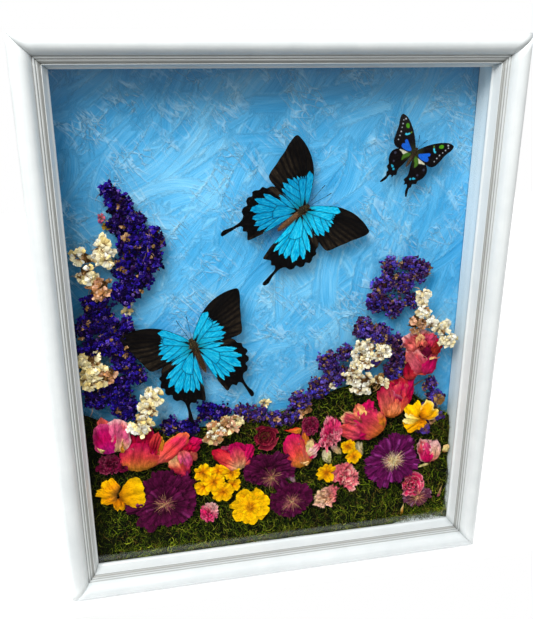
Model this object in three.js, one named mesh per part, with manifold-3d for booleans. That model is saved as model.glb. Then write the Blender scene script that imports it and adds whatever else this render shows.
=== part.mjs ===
// A butterfly shadow box: three mounted swallowtails over a bank of moss, dried flowers and statice,
// behind glass in a white moulded frame. Millimetres, +Z up. The glass faces -Y, the box stands on its
// bottom edge, and the origin is under the middle of its base.
// Inside the box, x and z are measured from the middle of the frame's opening and depth runs back (+Y)
// from the front edge of the moulding's lip.
import * as THREE from 'three';
import { mergeVertices } from 'three/addons/utils/BufferGeometryUtils.js';
import Module from 'manifold-3d';

const wasm = await Module();
wasm.setup();

// Driving dimensions: a box for a 16 by 20 inch picture
const OPENING_WIDTH = 394;
const OPENING_HEIGHT = 494;
const MOULDING_WIDTH = 29;
const MOULDING_FRONT = 22; // reach of the moulding's round in front of the lip
const MOULDING_BACK = 45; // depth of the box behind the lip
const RABBET = 6; // width of the lip that covers the glass
const LIP_THICKNESS = 3;
const GLASS_THICKNESS = 2;
const LINER_THICKNESS = 1.5;
const PANEL_FRONT = 33.5; // depth of the painted panel's face
const PANEL_THICKNESS = 3;
const BACK_THICKNESS = 3;
const GAP = 0.3; // kept between neighbouring pieces
const TIDY = 0.15; // slivers that a cut leaves are smoothed away within this
const BUTTERFLY_DEPTH = 22; // depth of the spread wings
const WING_THICKNESS = 0.9;

const halfWidth = OPENING_WIDTH / 2;
const halfHeight = OPENING_HEIGHT / 2;
const glassFront = LIP_THICKNESS + GAP;
const linerFront = glassFront + GLASS_THICKNESS + GAP;
const linerBack = PANEL_FRONT - GAP;
const linerInner = RABBET - 0.2 - LINER_THICKNESS; // distance of a liner's face outside the opening
const interior = {
  halfWidth: halfWidth + linerInner - GAP,
  halfHeight: halfHeight + linerInner - GAP,
  front: linerFront + GAP,
  back: linerBack,
};

const MATERIALS = {
  white_paint: { color: 0xf1f4f3, roughness: 0.42, metalness: 0 },
  glass: { color: 0xf4fbff, roughness: 0.02, metalness: 0, transparent: true, opacity: 0.2 },
  liner_board: { color: 0xbfd3da, roughness: 0.8, metalness: 0 },
  blue_plaster: { color: 0x4c9fd2, roughness: 0.7, metalness: 0 },
  hardboard: { color: 0x7a5536, roughness: 0.8, metalness: 0 },
  butterfly: { color: 0x0c6f8c, roughness: 0.5, metalness: 0 },
  moss: { color: 0x3c4d14, roughness: 0.95, metalness: 0 },
  rose_petal: { color: 0xb72c4c, roughness: 0.7, metalness: 0 },
  plum_petal: { color: 0x4d1240, roughness: 0.75, metalness: 0 },
  yellow_petal: { color: 0xf6b409, roughness: 0.65, metalness: 0 },
  purple_statice: { color: 0x36208f, roughness: 0.85, metalness: 0 },
  cream_statice: { color: 0xe4dcc2, roughness: 0.85, metalness: 0 },
};

// Repeatable random numbers
function randomSource(seed) {
  let state = seed;
  return () => {
    state = (state * 1664525 + 1013904223) % 4294967296;
    return state / 4294967296;
  };
}

// A closed geometry becomes a solid, and a solid a geometry again
function toSolid(geometry) {
  const bare = geometry.clone();
  bare.deleteAttribute('normal');
  bare.deleteAttribute('uv');
  const merged = mergeVertices(bare, 1e-4);
  return new wasm.Manifold(new wasm.Mesh({
    numProp: 3,
    vertProperties: new Float32Array(merged.attributes.position.array),
    triVerts: new Uint32Array(merged.index.array),
  }));
}

function toGeometry(solid) {
  const mesh = solid.getMesh();
  const geometry = new THREE.BufferGeometry();
  geometry.setAttribute('position', new THREE.BufferAttribute(new Float32Array(mesh.vertProperties), 3));
  geometry.setIndex(new THREE.BufferAttribute(new Uint32Array(mesh.triVerts), 1));
  geometry.computeVertexNormals();
  return geometry;
}

function joined(solids) {
  return solids.reduce((whole, next) => whole.add(next));
}

// The largest piece of a solid, without crumbs that a cut left
function largestBody(solid) {
  const bodies = solid.decompose();
  return bodies.reduce((best, next) => (next.volume() > best.volume() ? next : best));
}

// A lump a little larger all round, for cutting its neighbour clear of it
function grown(solid, margin) {
  const box = solid.boundingBox();
  const middle = box.min.map((low, i) => (low + box.max[i]) / 2);
  const scale = box.min.map((low, i) => 1 + (2 * margin) / (box.max[i] - low));
  return solid.translate(middle.map((m) => -m)).scale(scale).translate(middle);
}

function boxesMeet(a, b) {
  const first = a.boundingBox();
  const second = b.boundingBox();
  return [0, 1, 2].every((i) => first.min[i] < second.max[i] && second.min[i] < first.max[i]);
}

const box = new THREE.Group();
box.position.set(0, (MOULDING_FRONT - MOULDING_BACK) / 2, halfHeight + MOULDING_WIDTH);

function addMesh(name, geometry, material) {
  const mesh = new THREE.Mesh(geometry, new THREE.MeshStandardMaterial(MATERIALS[material]));
  mesh.name = name;
  box.add(mesh);
  return mesh;
}

function addBlock(name, size, place, material) {
  addMesh(name, new THREE.BoxGeometry(...size), material).position.set(...place);
}

// A solid is stored about its own middle, and its mesh is placed there
function addSolid(name, solid, material) {
  const bounds = solid.boundingBox();
  const middle = bounds.min.map((low, i) => (low + bounds.max[i]) / 2);
  const geometry = toGeometry(solid).translate(...middle.map((m) => -m));
  addMesh(name, geometry, material).position.set(...middle);
}

// The moulding's section: x runs outward from the opening, y is depth. From the lip outward there are a
// steep bevel, a groove, a flat, a thin bead between two grooves and a broad half-round.
function mouldingSection() {
  const shape = new THREE.Shape();
  const round = { x: 19.6, y: -10.5, halfWidth: 9.4, height: 11.5, steps: 10, start: 0.945 * Math.PI };
  shape.moveTo(0, LIP_THICKNESS);
  shape.lineTo(0, 0);
  shape.lineTo(1.5, -0.8);
  shape.lineTo(3.6, -10.4);
  shape.lineTo(4.3, -9.6);
  shape.lineTo(5, -11);
  shape.lineTo(7.2, -12.2);
  shape.lineTo(7.8, -11.3);
  shape.lineTo(8.3, -13);
  shape.lineTo(9.3, -13.2);
  for (let i = 0; i <= round.steps; i += 1) {
    const turn = round.start * (1 - i / round.steps);
    shape.lineTo(round.x + round.halfWidth * Math.cos(turn), round.y - round.height * Math.sin(turn));
  }
  shape.lineTo(MOULDING_WIDTH, MOULDING_BACK);
  shape.lineTo(RABBET, MOULDING_BACK);
  shape.lineTo(RABBET, LIP_THICKNESS);
  return shape;
}

// One length of moulding with mitred ends, along the top of an opening of the given half length
function railGeometry(halfLength, distance) {
  const geometry = new THREE.ExtrudeGeometry(mouldingSection(), { depth: 1, steps: 1, bevelEnabled: false });
  const place = geometry.attributes.position;
  const mitreGap = GAP * Math.SQRT1_2;
  for (let i = 0; i < place.count; i += 1) {
    const outward = place.getX(i);
    const along = (1 - 2 * place.getZ(i)) * (halfLength + outward - mitreGap);
    place.setXYZ(i, along, place.getY(i), distance + outward);
  }
  return geometry;
}

function addFrame() {
  const quarter = Math.PI / 2;
  const lengths = [
    ['frame_top_rail', halfWidth, halfHeight, 0],
    ['frame_right_stile', halfHeight, halfWidth, quarter],
    ['frame_bottom_rail', halfWidth, halfHeight, 2 * quarter],
    ['frame_left_stile', halfHeight, halfWidth, -quarter],
  ];
  for (const [name, halfLength, distance, turn] of lengths) {
    addMesh(name, railGeometry(halfLength, distance), 'white_paint').rotation.y = turn;
  }
}

function addPanels() {
  const inRabbet = 2 * (RABBET - GAP);
  const width = OPENING_WIDTH + inRabbet;
  const height = OPENING_HEIGHT + inRabbet;
  const backFront = PANEL_FRONT + PANEL_THICKNESS + GAP;
  addBlock('glass_pane', [width, GLASS_THICKNESS, height], [0, glassFront + GLASS_THICKNESS / 2, 0], 'glass');
  addBlock('painted_panel', [width, PANEL_THICKNESS, height],
    [0, PANEL_FRONT + PANEL_THICKNESS / 2, 0], 'blue_plaster');
  addBlock('back_panel', [width, BACK_THICKNESS, height],
    [0, backFront + BACK_THICKNESS / 2, 0], 'hardboard');
}

function addLiners() {
  const deep = linerBack - linerFront;
  const middle = (linerBack + linerFront) / 2;
  const toMiddle = linerInner + LINER_THICKNESS / 2;
  const fullWidth = OPENING_WIDTH + 2 * (linerInner + LINER_THICKNESS);
  const betweenHeight = OPENING_HEIGHT + 2 * (linerInner - GAP);
  for (const [name, side] of [['liner_bottom', -1], ['liner_top', 1]]) {
    const size = [fullWidth, deep, LINER_THICKNESS];
    addBlock(name, size, [0, middle, side * (halfHeight + toMiddle)], 'liner_board');
  }
  for (const [name, side] of [['liner_left', -1], ['liner_right', 1]]) {
    const size = [LINER_THICKNESS, deep, betweenHeight];
    addBlock(name, size, [side * (halfWidth + toMiddle), middle, 0], 'liner_board');
  }
}

// The insects. Each kind is drawn about its thorax: x to its right wing, y towards its head.
const LARGE_SWALLOWTAIL = {
  forewing: [
    [1, 4], [3, 10], [10, 19], [20, 29], [33, 36.5], [46, 39.8], [58, 39.8], [61, 37], [60, 31], [56, 20],
    [52, 7], [49.5, -2], [46, -6.5], [36, -6.5], [18, -4.5], [3, -3],
  ],
  hindwing: [
    [2, -1], [18, 0], [31, -2], [37, -8.5], [42, -16.5], [46, -25], [43.5, -29.5], [43.8, -35.5], [39, -38.5],
    [38, -45.5], [33, -48], [31.5, -53], [32.5, -62], [35.5, -70], [35, -75], [31, -75.5], [30, -66],
    [28.5, -57], [22, -56.3], [16, -56], [12, -59], [9.5, -52], [7, -42], [4.5, -28], [2.5, -12],
  ],
  body: [[-30, 0.9], [-22, 2.7], [-6, 3], [-1, 4], [3, 4], [5, 2.5], [8, 2]],
  antenna: [[1, 7], [3, 20], [5, 32]],
};
const SMALL_SWALLOWTAIL = {
  forewing: [
    [1, 4], [6, 11], [11.5, 16.7], [18.5, 22], [25, 25.5], [32, 25.3], [32, 20.5], [29, 14], [27.5, 7],
    [25.5, 0.5], [22, -2.5], [18, -3], [12, -2], [3, -0.5],
  ],
  hindwing: [
    [2, 0.5], [10, 0], [17, -3], [21, -7], [22, -11], [20.5, -16.5], [17.5, -21], [17, -24.5], [14.5, -26.5],
    [14.5, -30], [16.5, -38], [14.5, -38.5], [12, -34], [11, -30], [8, -29.5], [7, -27], [4.5, -25.5],
    [6, -20], [4, -13], [2, -6],
  ],
  body: [[-14, 0.6], [-9, 1.6], [-2, 1.9], [1, 2.4], [4, 1.6], [6.5, 1.4]],
  antenna: [[0.8, 6], [3, 12], [5, 18]],
};
const BUTTERFLIES = {
  butterfly_upper: { kind: LARGE_SWALLOWTAIL, x: 24, z: 117, heading: 52, scale: 1 },
  butterfly_lower: { kind: LARGE_SWALLOWTAIL, x: -85.5, z: -15.5, heading: -20.5, scale: 1.03 },
  butterfly_small: { kind: SMALL_SWALLOWTAIL, x: 134.5, z: 167.5, heading: 30, scale: 1 },
};
const WING_RISE = 3; // degrees that each spread wing rises towards the glass
const PIN_RADIUS = 0.8;

function wingSolid(outline, side, lift, thickness) {
  const points = outline.map(([x, y]) => new THREE.Vector2(side * x, y));
  const geometry = new THREE.ExtrudeGeometry(new THREE.Shape(points), {
    depth: thickness, steps: 1, bevelEnabled: false,
  });
  geometry.translate(0, 0, lift);
  geometry.rotateY(THREE.MathUtils.degToRad(-side * WING_RISE));
  return toSolid(geometry);
}

function turnedBody(profile) {
  const points = profile.map(([along, radius]) => new THREE.Vector2(radius, along));
  points.unshift(new THREE.Vector2(0, profile[0][0] - 0.5));
  points.push(new THREE.Vector2(0, profile[profile.length - 1][0] + 0.5));
  return toSolid(new THREE.LatheGeometry(points, 6));
}

function tubeAlong(points, radius) {
  const section = new THREE.Shape();
  const sides = 4;
  for (let i = 0; i < sides; i += 1) {
    const turn = (2 * Math.PI * i) / sides;
    section[i ? 'lineTo' : 'moveTo'](radius * Math.cos(turn), radius * Math.sin(turn));
  }
  const path = new THREE.CatmullRomCurve3(points);
  return toSolid(new THREE.ExtrudeGeometry(section, {
    steps: 2 * points.length - 3, bevelEnabled: false, extrudePath: path,
  }));
}

// One dried insect: wings, body, antennae and the short pin behind its thorax, in one piece. With a margin it
// is the space to keep clear for it.
function butterflySolid({ kind, x, z, heading, scale }, margin) {
  const thickness = WING_THICKNESS + 2 * margin;
  const size = scale * (1 + margin / 30);
  const parts = [turnedBody(kind.body)];
  for (const side of [-1, 1]) {
    parts.push(wingSolid(kind.hindwing, side, -0.6 * WING_THICKNESS - margin, thickness));
    parts.push(wingSolid(kind.forewing, side, -margin, thickness));
    parts.push(tubeAlong(kind.antenna.map(([ax, ay]) => new THREE.Vector3(side * ax, ay, 0.5)), 0.5));
  }
  const pinLength = (interior.back - BUTTERFLY_DEPTH) / size;
  const pin = new THREE.CylinderGeometry(PIN_RADIUS, PIN_RADIUS, pinLength, 6);
  parts.push(toSolid(pin.rotateX(Math.PI / 2).translate(0, 0, -pinLength / 2)));
  return joined(parts)
    .scale([size, size, size])
    .rotate([90, 0, 0])
    .rotate([0, heading, 0])
    .translate([x, BUTTERFLY_DEPTH, z]);
}

// Flowers. wide and high are half sizes, front and back are depths, lean turns the flower clockwise in the
// picture, and lobes, notch, twist and ridge shape its petals.
const ROSE = { lobes: 3, notch: 0.1, twist: 2.4, ridge: 0.16, columns: 12, rows: 5, material: 'rose_petal' };
const BUD = { lobes: 2, notch: 0.08, twist: 1.6, ridge: 0.12, taper: 0.45, columns: 10, rows: 5,
  material: 'rose_petal' };
const CARNATION = { lobes: 5, notch: 0.2, twist: 1, ridge: 0.2, columns: 15, rows: 5,
  material: 'rose_petal' };
const ZINNIA = { lobes: 10, notch: 0.12, twist: 0, ridge: 0.22, columns: 20, rows: 4,
  material: 'plum_petal' };
const YELLOW = { lobes: 5, notch: 0.34, twist: 0, ridge: 0.2, columns: 15, rows: 4,
  material: 'yellow_petal' };
const FLOWERS = {
  yellow_flower_round: { ...YELLOW, lobes: 8, notch: 0.14, columns: 16, x: -33, z: -203, wide: 22, high: 24,
    front: 7.5, back: 13.5 },
  yellow_flower_left: { ...YELLOW, x: -169, z: -172, wide: 27, high: 24, front: 7.5, back: 13 },
  yellow_flower_cluster: { ...YELLOW, x: -68, z: -171, wide: 29, high: 25, front: 8, back: 17, lean: 30 },
  yellow_flower_mid: { ...YELLOW, x: 80, z: -150, wide: 16, high: 18, front: 8, back: 14, lean: 35 },
  yellow_flower_low: { ...YELLOW, x: 52, z: -175, wide: 15, high: 14, front: 9, back: 14, lean: 45 },
  yellow_flower_right: { ...YELLOW, x: 157, z: -115, wide: 23, high: 19, front: 8, back: 16 },
  rosebud_low_pink: { ...CARNATION, x: -77, z: -207, wide: 12, high: 13, front: 8, back: 18 },
  rose_lower_right: { ...ROSE, x: 157, z: -203, wide: 15, high: 16, front: 7.5, back: 20 },
  aster_purple: { ...ZINNIA, lobes: 12, columns: 24, x: 129, z: -166,
    wide: 35, high: 37, front: 8, back: 15 },
  zinnia_plum_left: { ...ZINNIA, x: -124, z: -187, wide: 42, high: 42, front: 9, back: 18 },
  zinnia_plum_low: { ...ZINNIA, x: 13, z: -203, wide: 27, high: 30, front: 9, back: 16 },
  zinnia_plum_mid: { ...ZINNIA, x: -12, z: -164, wide: 33, high: 24, front: 11, back: 18 },
  zinnia_faded: { ...ZINNIA, x: 163, z: -219, wide: 20, high: 18, front: 11, back: 17 },
  carnation_pink: { ...CARNATION, x: 76, z: -184, wide: 19, high: 21, front: 8, back: 19, lean: 40 },
  carnation_peach: { ...CARNATION, x: 55, z: -207, wide: 19, high: 14, front: 9, back: 19, lean: -35 },
  carnation_tall: { ...CARNATION, x: 57, z: -127, wide: 14, high: 25, front: 9, back: 20, lean: -15 },
  carnation_dark_left: { ...CARNATION, x: -177, z: -136, wide: 17, high: 12, front: 11, back: 20, lean: 20 },
  carnation_dark_mid: { ...CARNATION, x: 35, z: -117, wide: 12, high: 12, front: 12, back: 22 },
  rose_burgundy: { ...ROSE, x: -14, z: -124, wide: 15, high: 15, front: 10, back: 21 },
  rosebud_pink_left: { ...BUD, x: -172, z: -104, wide: 17, high: 20, front: 9, back: 24, lean: -10 },
  rose_red_left: { ...ROSE, x: -146, z: -126, wide: 22, high: 19, front: 10, back: 26, lean: -25 },
  rose_red_middle: { ...ROSE, x: -106, z: -137, wide: 21, high: 26, front: 11, back: 27, lean: 20 },
  rosebud_wedge: { ...BUD, x: -49, z: -141, wide: 23, high: 15, front: 11, back: 25, lean: -20 },
  rosebud_magenta: { ...BUD, x: 20, z: -140, wide: 17, high: 25, front: 10, back: 24, lean: 15 },
  rosebud_small: { ...BUD, x: 39, z: -143, wide: 9, high: 13, front: 9, back: 19, lean: -30 },
  rosebud_orange: { ...BUD, x: 129, z: -93, wide: 23, high: 22, front: 9, back: 25, lean: 10 },
  rose_salmon: { ...ROSE, x: 94, z: -115, wide: 27, high: 23, front: 9, back: 26, lean: -20 },
  rose_large_right: { ...ROSE, x: 158, z: -46, wide: 23, high: 29, front: 8, back: 28, lean: 10 },
  rosebud_right: { ...ROSE, x: 173, z: -162, wide: 15, high: 18, front: 9, back: 22 },
};

// A flower or bud: a flattened ball seen from its front pole, lobed round its rim, with a spiral of ridges
function bloomSolid(flower) {
  const { x, z, wide, high, front, back, lobes, notch, twist, ridge, columns, rows } = flower;
  const geometry = new THREE.SphereGeometry(1, columns, rows);
  const place = geometry.attributes.position;
  const halfThick = (back - front) / 2;
  for (let i = 0; i < place.count; i += 1) {
    const spread = Math.hypot(place.getX(i), place.getZ(i));
    const turn = Math.atan2(-place.getZ(i), place.getX(i));
    const towards = place.getY(i);
    const rim = 1 - notch * (0.5 - 0.5 * Math.cos(lobes * turn));
    const taper = 1 - (flower.taper ?? 0) * (0.5 - 0.5 * Math.sin(turn)) * spread;
    const fold = spread * (1 - spread) * 4 * ridge * Math.cos(lobes * (turn + twist * spread));
    const reach = Math.sqrt(spread) * rim;
    place.setXYZ(i, wide * reach * taper * Math.cos(turn),
      -halfThick * towards * (1 - Math.max(0, fold)), high * reach * Math.sin(turn));
  }
  const middle = (front + back) / 2;
  geometry.rotateY(THREE.MathUtils.degToRad(flower.lean ?? 0));
  return toSolid(geometry).translate([x, middle, z]);
}

// Sprays of statice: florets in lumps along a branching stem. Each lump is its x, z and radius, in order
// along the stem; front and back are depths.
const PURPLE = { material: 'purple_statice' };
const CREAM = { material: 'cream_statice' };
const SPRAYS = {
  statice_cream_left_low: { ...CREAM, front: 11, back: 23,
    lumps: [[-130, -65, 7], [-136, -78, 8], [-142, -94, 10]] },
  statice_cream_left: { ...CREAM, front: 12, back: 25, lumps: [[-188, -24, 12], [-190, -42, 8],
    [-174, -38, 11]] },
  statice_cream_left_top: { ...CREAM, front: 15, back: 27,
    lumps: [[-166, 94, 7], [-166, 83, 8], [-183, 82, 8],
    [-183, 69, 9], [-172, 52, 10]] },
  statice_cream_mid: { ...CREAM, front: 12, back: 22, lumps: [[-43, -100, 6], [-54, -103, 8], [-64, -108, 8],
    [-71, -115, 6]] },
  statice_cream_right: { ...CREAM, front: 9, back: 22, lumps: [[109, -33, 8], [90, -29, 9], [89, -45, 10],
    [77, -57, 9], [90, -69, 11], [109, -70, 8]] },
  statice_cream_right_top: { ...CREAM, front: 10, back: 22, lumps: [[150, 26, 5], [153, 12, 6], [147, -5, 10],
    [165, -7, 7], [177, -16, 8], [183, -27, 6]] },
  statice_purple_left_top: { ...PURPLE, front: 17, back: 32,
    lumps: [[-158, 143, 8], [-148, 129, 14], [-135, 111, 11],
    [-150, 112, 12]] },
  statice_purple_left_shoulder: { ...PURPLE, front: 16, back: 32, lumps: [[-120, 94, 14], [-141, 93, 14],
    [-123, 76, 13], [-146, 70, 15], [-133, 57, 12], [-148, 45, 13]] },
  statice_purple_left_mid: { ...PURPLE, front: 15, back: 32,
    lumps: [[-150, 11, 9], [-169, 14, 13], [-177, 34, 14],
    [-189, 12, 12], [-184, -10, 13], [-164, -8, 15]] },
  statice_purple_left_low: { ...PURPLE, front: 14, back: 30, lumps: [[-155, -25, 13], [-143, -42, 9],
    [-164, -55, 15], [-183, -63, 13], [-158, -77, 14]] },
  statice_purple_mid_left: { ...PURPLE, front: 24, back: 32, lumps: [[-114, -106, 11], [-94, -111, 12],
    [-74, -93, 12], [-59, -97, 10]] },
  statice_purple_mid_right: { ...PURPLE, front: 20, back: 32, lumps: [[-38, -96, 11], [-20, -101, 9],
    [-2, -108, 9], [14, -110, 10]] },
  statice_purple_right_low: { ...PURPLE, front: 16, back: 31, lumps: [[25, -88, 11], [46, -76, 14],
    [64, -61, 13], [55, -46, 11], [73, -37, 9]] },
  statice_purple_right_mid: { ...PURPLE, front: 15, back: 31,
    lumps: [[92, -11, 12], [111, -18, 12], [129, -30, 10],
    [133, -48, 11], [127, -64, 11]] },
  statice_purple_right_top: { ...PURPLE, front: 17, back: 32,
    lumps: [[117, 56, 9], [113, 38, 12], [106, 18, 12],
    [124, 9, 11], [145, 16, 9], [134, 34, 12], [150, 48, 12], [137, 57, 8]] },
  statice_purple_far_right: { ...PURPLE, front: 14, back: 27,
    lumps: [[171, -81, 8], [177, -98, 10], [168, -112, 8],
    [165, -134, 9]] },
};
const STEM_RADIUS = 1.6;
// Lumps closer than this share of their radii grow into each other with no stem between
const LUMP_HOLD = 0.6;

// One lump of florets: a flattened, uneven ball
function lumpSolid(x, z, radius, spray, margin, random) {
  const geometry = mergeVertices(bareOf(new THREE.IcosahedronGeometry(radius, 0)), 1e-4);
  const place = geometry.attributes.position;
  const halfThick = (spray.back - spray.front) / 2 + margin;
  for (let i = 0; i < place.count; i += 1) {
    const uneven = 0.82 + 0.36 * random();
    const depth = (spray.front + spray.back) / 2 + (place.getY(i) * halfThick) / radius;
    place.setXYZ(i, x + place.getX(i) * uneven, depth, z + place.getZ(i) * uneven);
  }
  return toSolid(geometry);
}

function bareOf(geometry) {
  geometry.deleteAttribute('normal');
  geometry.deleteAttribute('uv');
  return geometry;
}

// A whole spray, or with a margin the space to keep clear for it
function spraySolid(spray, seed, margin) {
  const random = randomSource(seed);
  const depth = (spray.front + spray.back) / 2;
  const parts = spray.lumps.map(([x, z, radius]) => lumpSolid(x, z, radius + margin, spray, margin, random));
  for (let i = 1; i < spray.lumps.length; i += 1) {
    const pair = [spray.lumps[i - 1], spray.lumps[i]];
    const ends = pair.map(([x, z]) => new THREE.Vector3(x, depth, z));
    const sunk = ends[0].distanceTo(ends[1]) < LUMP_HOLD * (pair[0][2] + pair[1][2]);
    if (!sunk) parts.push(tubeAlong(ends, STEM_RADIUS + margin));
  }
  return joined(parts);
}

// The moss: a bank whose upper edge dips in the middle, thin at its top and nearly at the glass at the
// bottom. It is pressed back behind each flower that lies on it.
const MOSS_EDGE = [[-203, -84], [-184, -94], [-160, -106], [-82, -114], [-29, -110], [15, -103], [59, -86],
  [92, -78], [118, -80], [163, -100], [185, -120], [203, -128]];
const MOSS_COLUMNS = 18;
const MOSS_ROWS = 7;
const MOSS_TOP_DEPTH = 27;
const MOSS_MID_DEPTH = 16;
const MOSS_LOW_DEPTH = 8;
const MOSS_LUMP = 1.2;

function mossEdgeHeight(x) {
  const next = MOSS_EDGE.findIndex(([edgeX]) => edgeX > x);
  const [x0, z0] = MOSS_EDGE[next - 1];
  const [x1, z1] = MOSS_EDGE[next];
  return THREE.MathUtils.mapLinear(x, x0, x1, z0, z1);
}

function mossDepth(x, z, top) {
  const fromTop = THREE.MathUtils.clamp((top - z) / 35, 0, 1);
  const fromBottom = THREE.MathUtils.clamp((z + interior.halfHeight - 22) / 40, 0, 1);
  const slope = THREE.MathUtils.lerp(MOSS_TOP_DEPTH, MOSS_MID_DEPTH, fromTop);
  const natural = THREE.MathUtils.lerp(MOSS_LOW_DEPTH, slope, fromBottom)
    + MOSS_LUMP * Math.sin(0.21 * x) * Math.cos(0.17 * z + 0.05 * x);
  const spacing = (2 * interior.halfWidth) / MOSS_COLUMNS;
  return Object.values(FLOWERS).reduce((depth, flower) => {
    const across = (x - flower.x) / (flower.wide + spacing);
    const up = (z - flower.z) / (flower.high + 0.8 * spacing);
    const covers = Math.hypot(across, up) < 1;
    return covers ? Math.max(depth, flower.back + GAP) : depth;
  }, natural);
}

// The bank as a closed sheet: its front follows the depths above, raised by the given amount, and its back
// lies flat on the panel
function mossSolid(raised) {
  const positions = [];
  for (const onFront of [true, false]) {
    for (let row = 0; row <= MOSS_ROWS; row += 1) {
      for (let column = 0; column <= MOSS_COLUMNS; column += 1) {
        const x = interior.halfWidth * ((2 * column) / MOSS_COLUMNS - 1);
        const top = mossEdgeHeight(x) + raised;
        const z = THREE.MathUtils.lerp(-interior.halfHeight, top, row / MOSS_ROWS);
        positions.push(x, onFront ? mossDepth(x, z, top) - raised : interior.back, z);
      }
    }
  }
  const across = MOSS_COLUMNS + 1;
  const layer = across * (MOSS_ROWS + 1);
  const indices = [];
  const quad = (a, b, c, d) => indices.push(a, b, c, a, c, d);
  for (let row = 0; row < MOSS_ROWS; row += 1) {
    for (let column = 0; column < MOSS_COLUMNS; column += 1) {
      const a = row * across + column;
      quad(a, a + 1, a + across + 1, a + across);
      quad(layer + a, layer + a + across, layer + a + across + 1, layer + a + 1);
    }
    const left = row * across;
    const right = left + MOSS_COLUMNS;
    quad(left, left + across, layer + left + across, layer + left);
    quad(right, layer + right, layer + right + across, right + across);
  }
  for (let column = 0; column < MOSS_COLUMNS; column += 1) {
    const high = MOSS_ROWS * across + column;
    quad(column, layer + column, layer + column + 1, column + 1);
    quad(high, high + 1, layer + high + 1, layer + high);
  }
  const geometry = new THREE.BufferGeometry();
  geometry.setAttribute('position', new THREE.Float32BufferAttribute(positions, 3));
  geometry.setIndex(indices);
  return toSolid(geometry);
}

// Everything in the box goes in from the front to the back. Each piece is trimmed to the room inside the
// box and cut clear of the pieces already in place.
function addContents() {
  const room = toSolid(new THREE.BoxGeometry(
    2 * interior.halfWidth, interior.back - interior.front, 2 * interior.halfHeight,
  )).translate([0, (interior.back + interior.front) / 2, 0]);
  const cutters = [];

  const settle = (name, solid, cutter, material) => {
    let left = solid.intersect(room);
    for (const earlier of cutters) {
      if (boxesMeet(left, earlier)) left = left.subtract(earlier);
    }
    addSolid(name, largestBody(left).simplify(TIDY), material);
    cutters.push(cutter);
  };

  for (const [name, insect] of Object.entries(BUTTERFLIES)) {
    settle(name, butterflySolid(insect, 0), butterflySolid(insect, 2 * GAP), 'butterfly');
  }
  for (const [name, flower] of Object.entries(FLOWERS)) {
    const solid = bloomSolid(flower);
    settle(name, solid, grown(solid, 2 * GAP), flower.material);
  }
  settle('moss_bank', mossSolid(0), mossSolid(GAP), 'moss');
  Object.entries(SPRAYS).forEach(([name, spray], index) => {
    const seed = 11 + 7 * index;
    settle(name, spraySolid(spray, seed, 0), spraySolid(spray, seed, 2 * GAP), spray.material);
  });
}

addFrame();
addPanels();
addLiners();
addContents();

const shadowBox = new THREE.Group();
shadowBox.add(box);

export default shadowBox;
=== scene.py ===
"""The looks of the butterfly shadow box: painted moulding, glass, trowelled plaster, three swallowtails,
moss, statice and dried flowers. Sizes are millimetres inside the box: x and z from the middle of the
opening, and depth back from the front edge of the moulding's lip."""
import math

import bpy
import numpy as np
from mathutils import Matrix, Vector
from mathutils.bvhtree import BVHTree
from mathutils.geometry import delaunay_2d_cdt


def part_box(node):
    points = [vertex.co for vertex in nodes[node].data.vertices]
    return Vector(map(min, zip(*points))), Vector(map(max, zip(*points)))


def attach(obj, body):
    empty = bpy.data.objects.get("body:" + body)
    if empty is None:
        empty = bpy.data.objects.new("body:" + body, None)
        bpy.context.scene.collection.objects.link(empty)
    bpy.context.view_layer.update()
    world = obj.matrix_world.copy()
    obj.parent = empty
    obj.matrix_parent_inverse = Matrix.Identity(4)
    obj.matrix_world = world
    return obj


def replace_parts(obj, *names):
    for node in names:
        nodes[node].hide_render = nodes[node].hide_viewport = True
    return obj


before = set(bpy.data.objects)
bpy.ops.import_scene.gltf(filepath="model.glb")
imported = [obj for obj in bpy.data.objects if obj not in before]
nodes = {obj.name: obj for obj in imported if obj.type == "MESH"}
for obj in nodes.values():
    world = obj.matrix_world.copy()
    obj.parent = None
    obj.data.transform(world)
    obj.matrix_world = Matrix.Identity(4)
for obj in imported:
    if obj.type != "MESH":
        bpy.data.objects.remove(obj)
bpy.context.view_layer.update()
scene = bpy.context.scene

OPENING_HALF_WIDTH = 197.0
OPENING_HALF_HEIGHT = 247.0
MITRE_GAP = 0.21
PANEL_FRONT = 33.5
PANEL_BACK = 36.5
PANEL_HALF_WIDTH = 202.7
PANEL_HALF_HEIGHT = 252.7
ROOM_HALF_WIDTH = 201.0
ROOM_HALF_HEIGHT = 251.0
BUTTERFLY_DEPTH = 22.0
GLASS_BACK = 6.1  # nothing comes nearer to the glass than this
PRESSED = 2.5  # and what comes this close behind it is pressed back
BOX_SHIFT = np.array([0.0, -11.5, 276.0])  # from the box's own millimetres to the part's frame


def srgb(red, green, blue):
    """A colour given as 0 to 255 on a screen, as linear light."""
    values = np.array([red, green, blue]) / 255
    return np.where(values < 0.04045, values / 12.92, ((values + 0.055) / 1.055) ** 2.4)


def to_part(points):
    return (np.asarray(points, dtype=float) + BOX_SHIFT) / 1000


def in_box(points):
    return np.asarray(points, dtype=float) * 1000 - BOX_SHIFT


def smooth_step(low, high, value):
    share = np.clip((np.asarray(value, dtype=float) - low) / (high - low), 0, 1)
    return share * share * (3 - 2 * share)


def pick_tones(tones, count, random, low=0.75, high=1.2):
    """For each of the count one of the tones, a little darker or brighter."""
    chosen = np.array([srgb(*tone) for tone in tones])[random.integers(0, len(tones), count)]
    return chosen * random.uniform(low, high, (count, 1))


def toward(first, second, share):
    return first * (1 - share) + second * share


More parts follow.
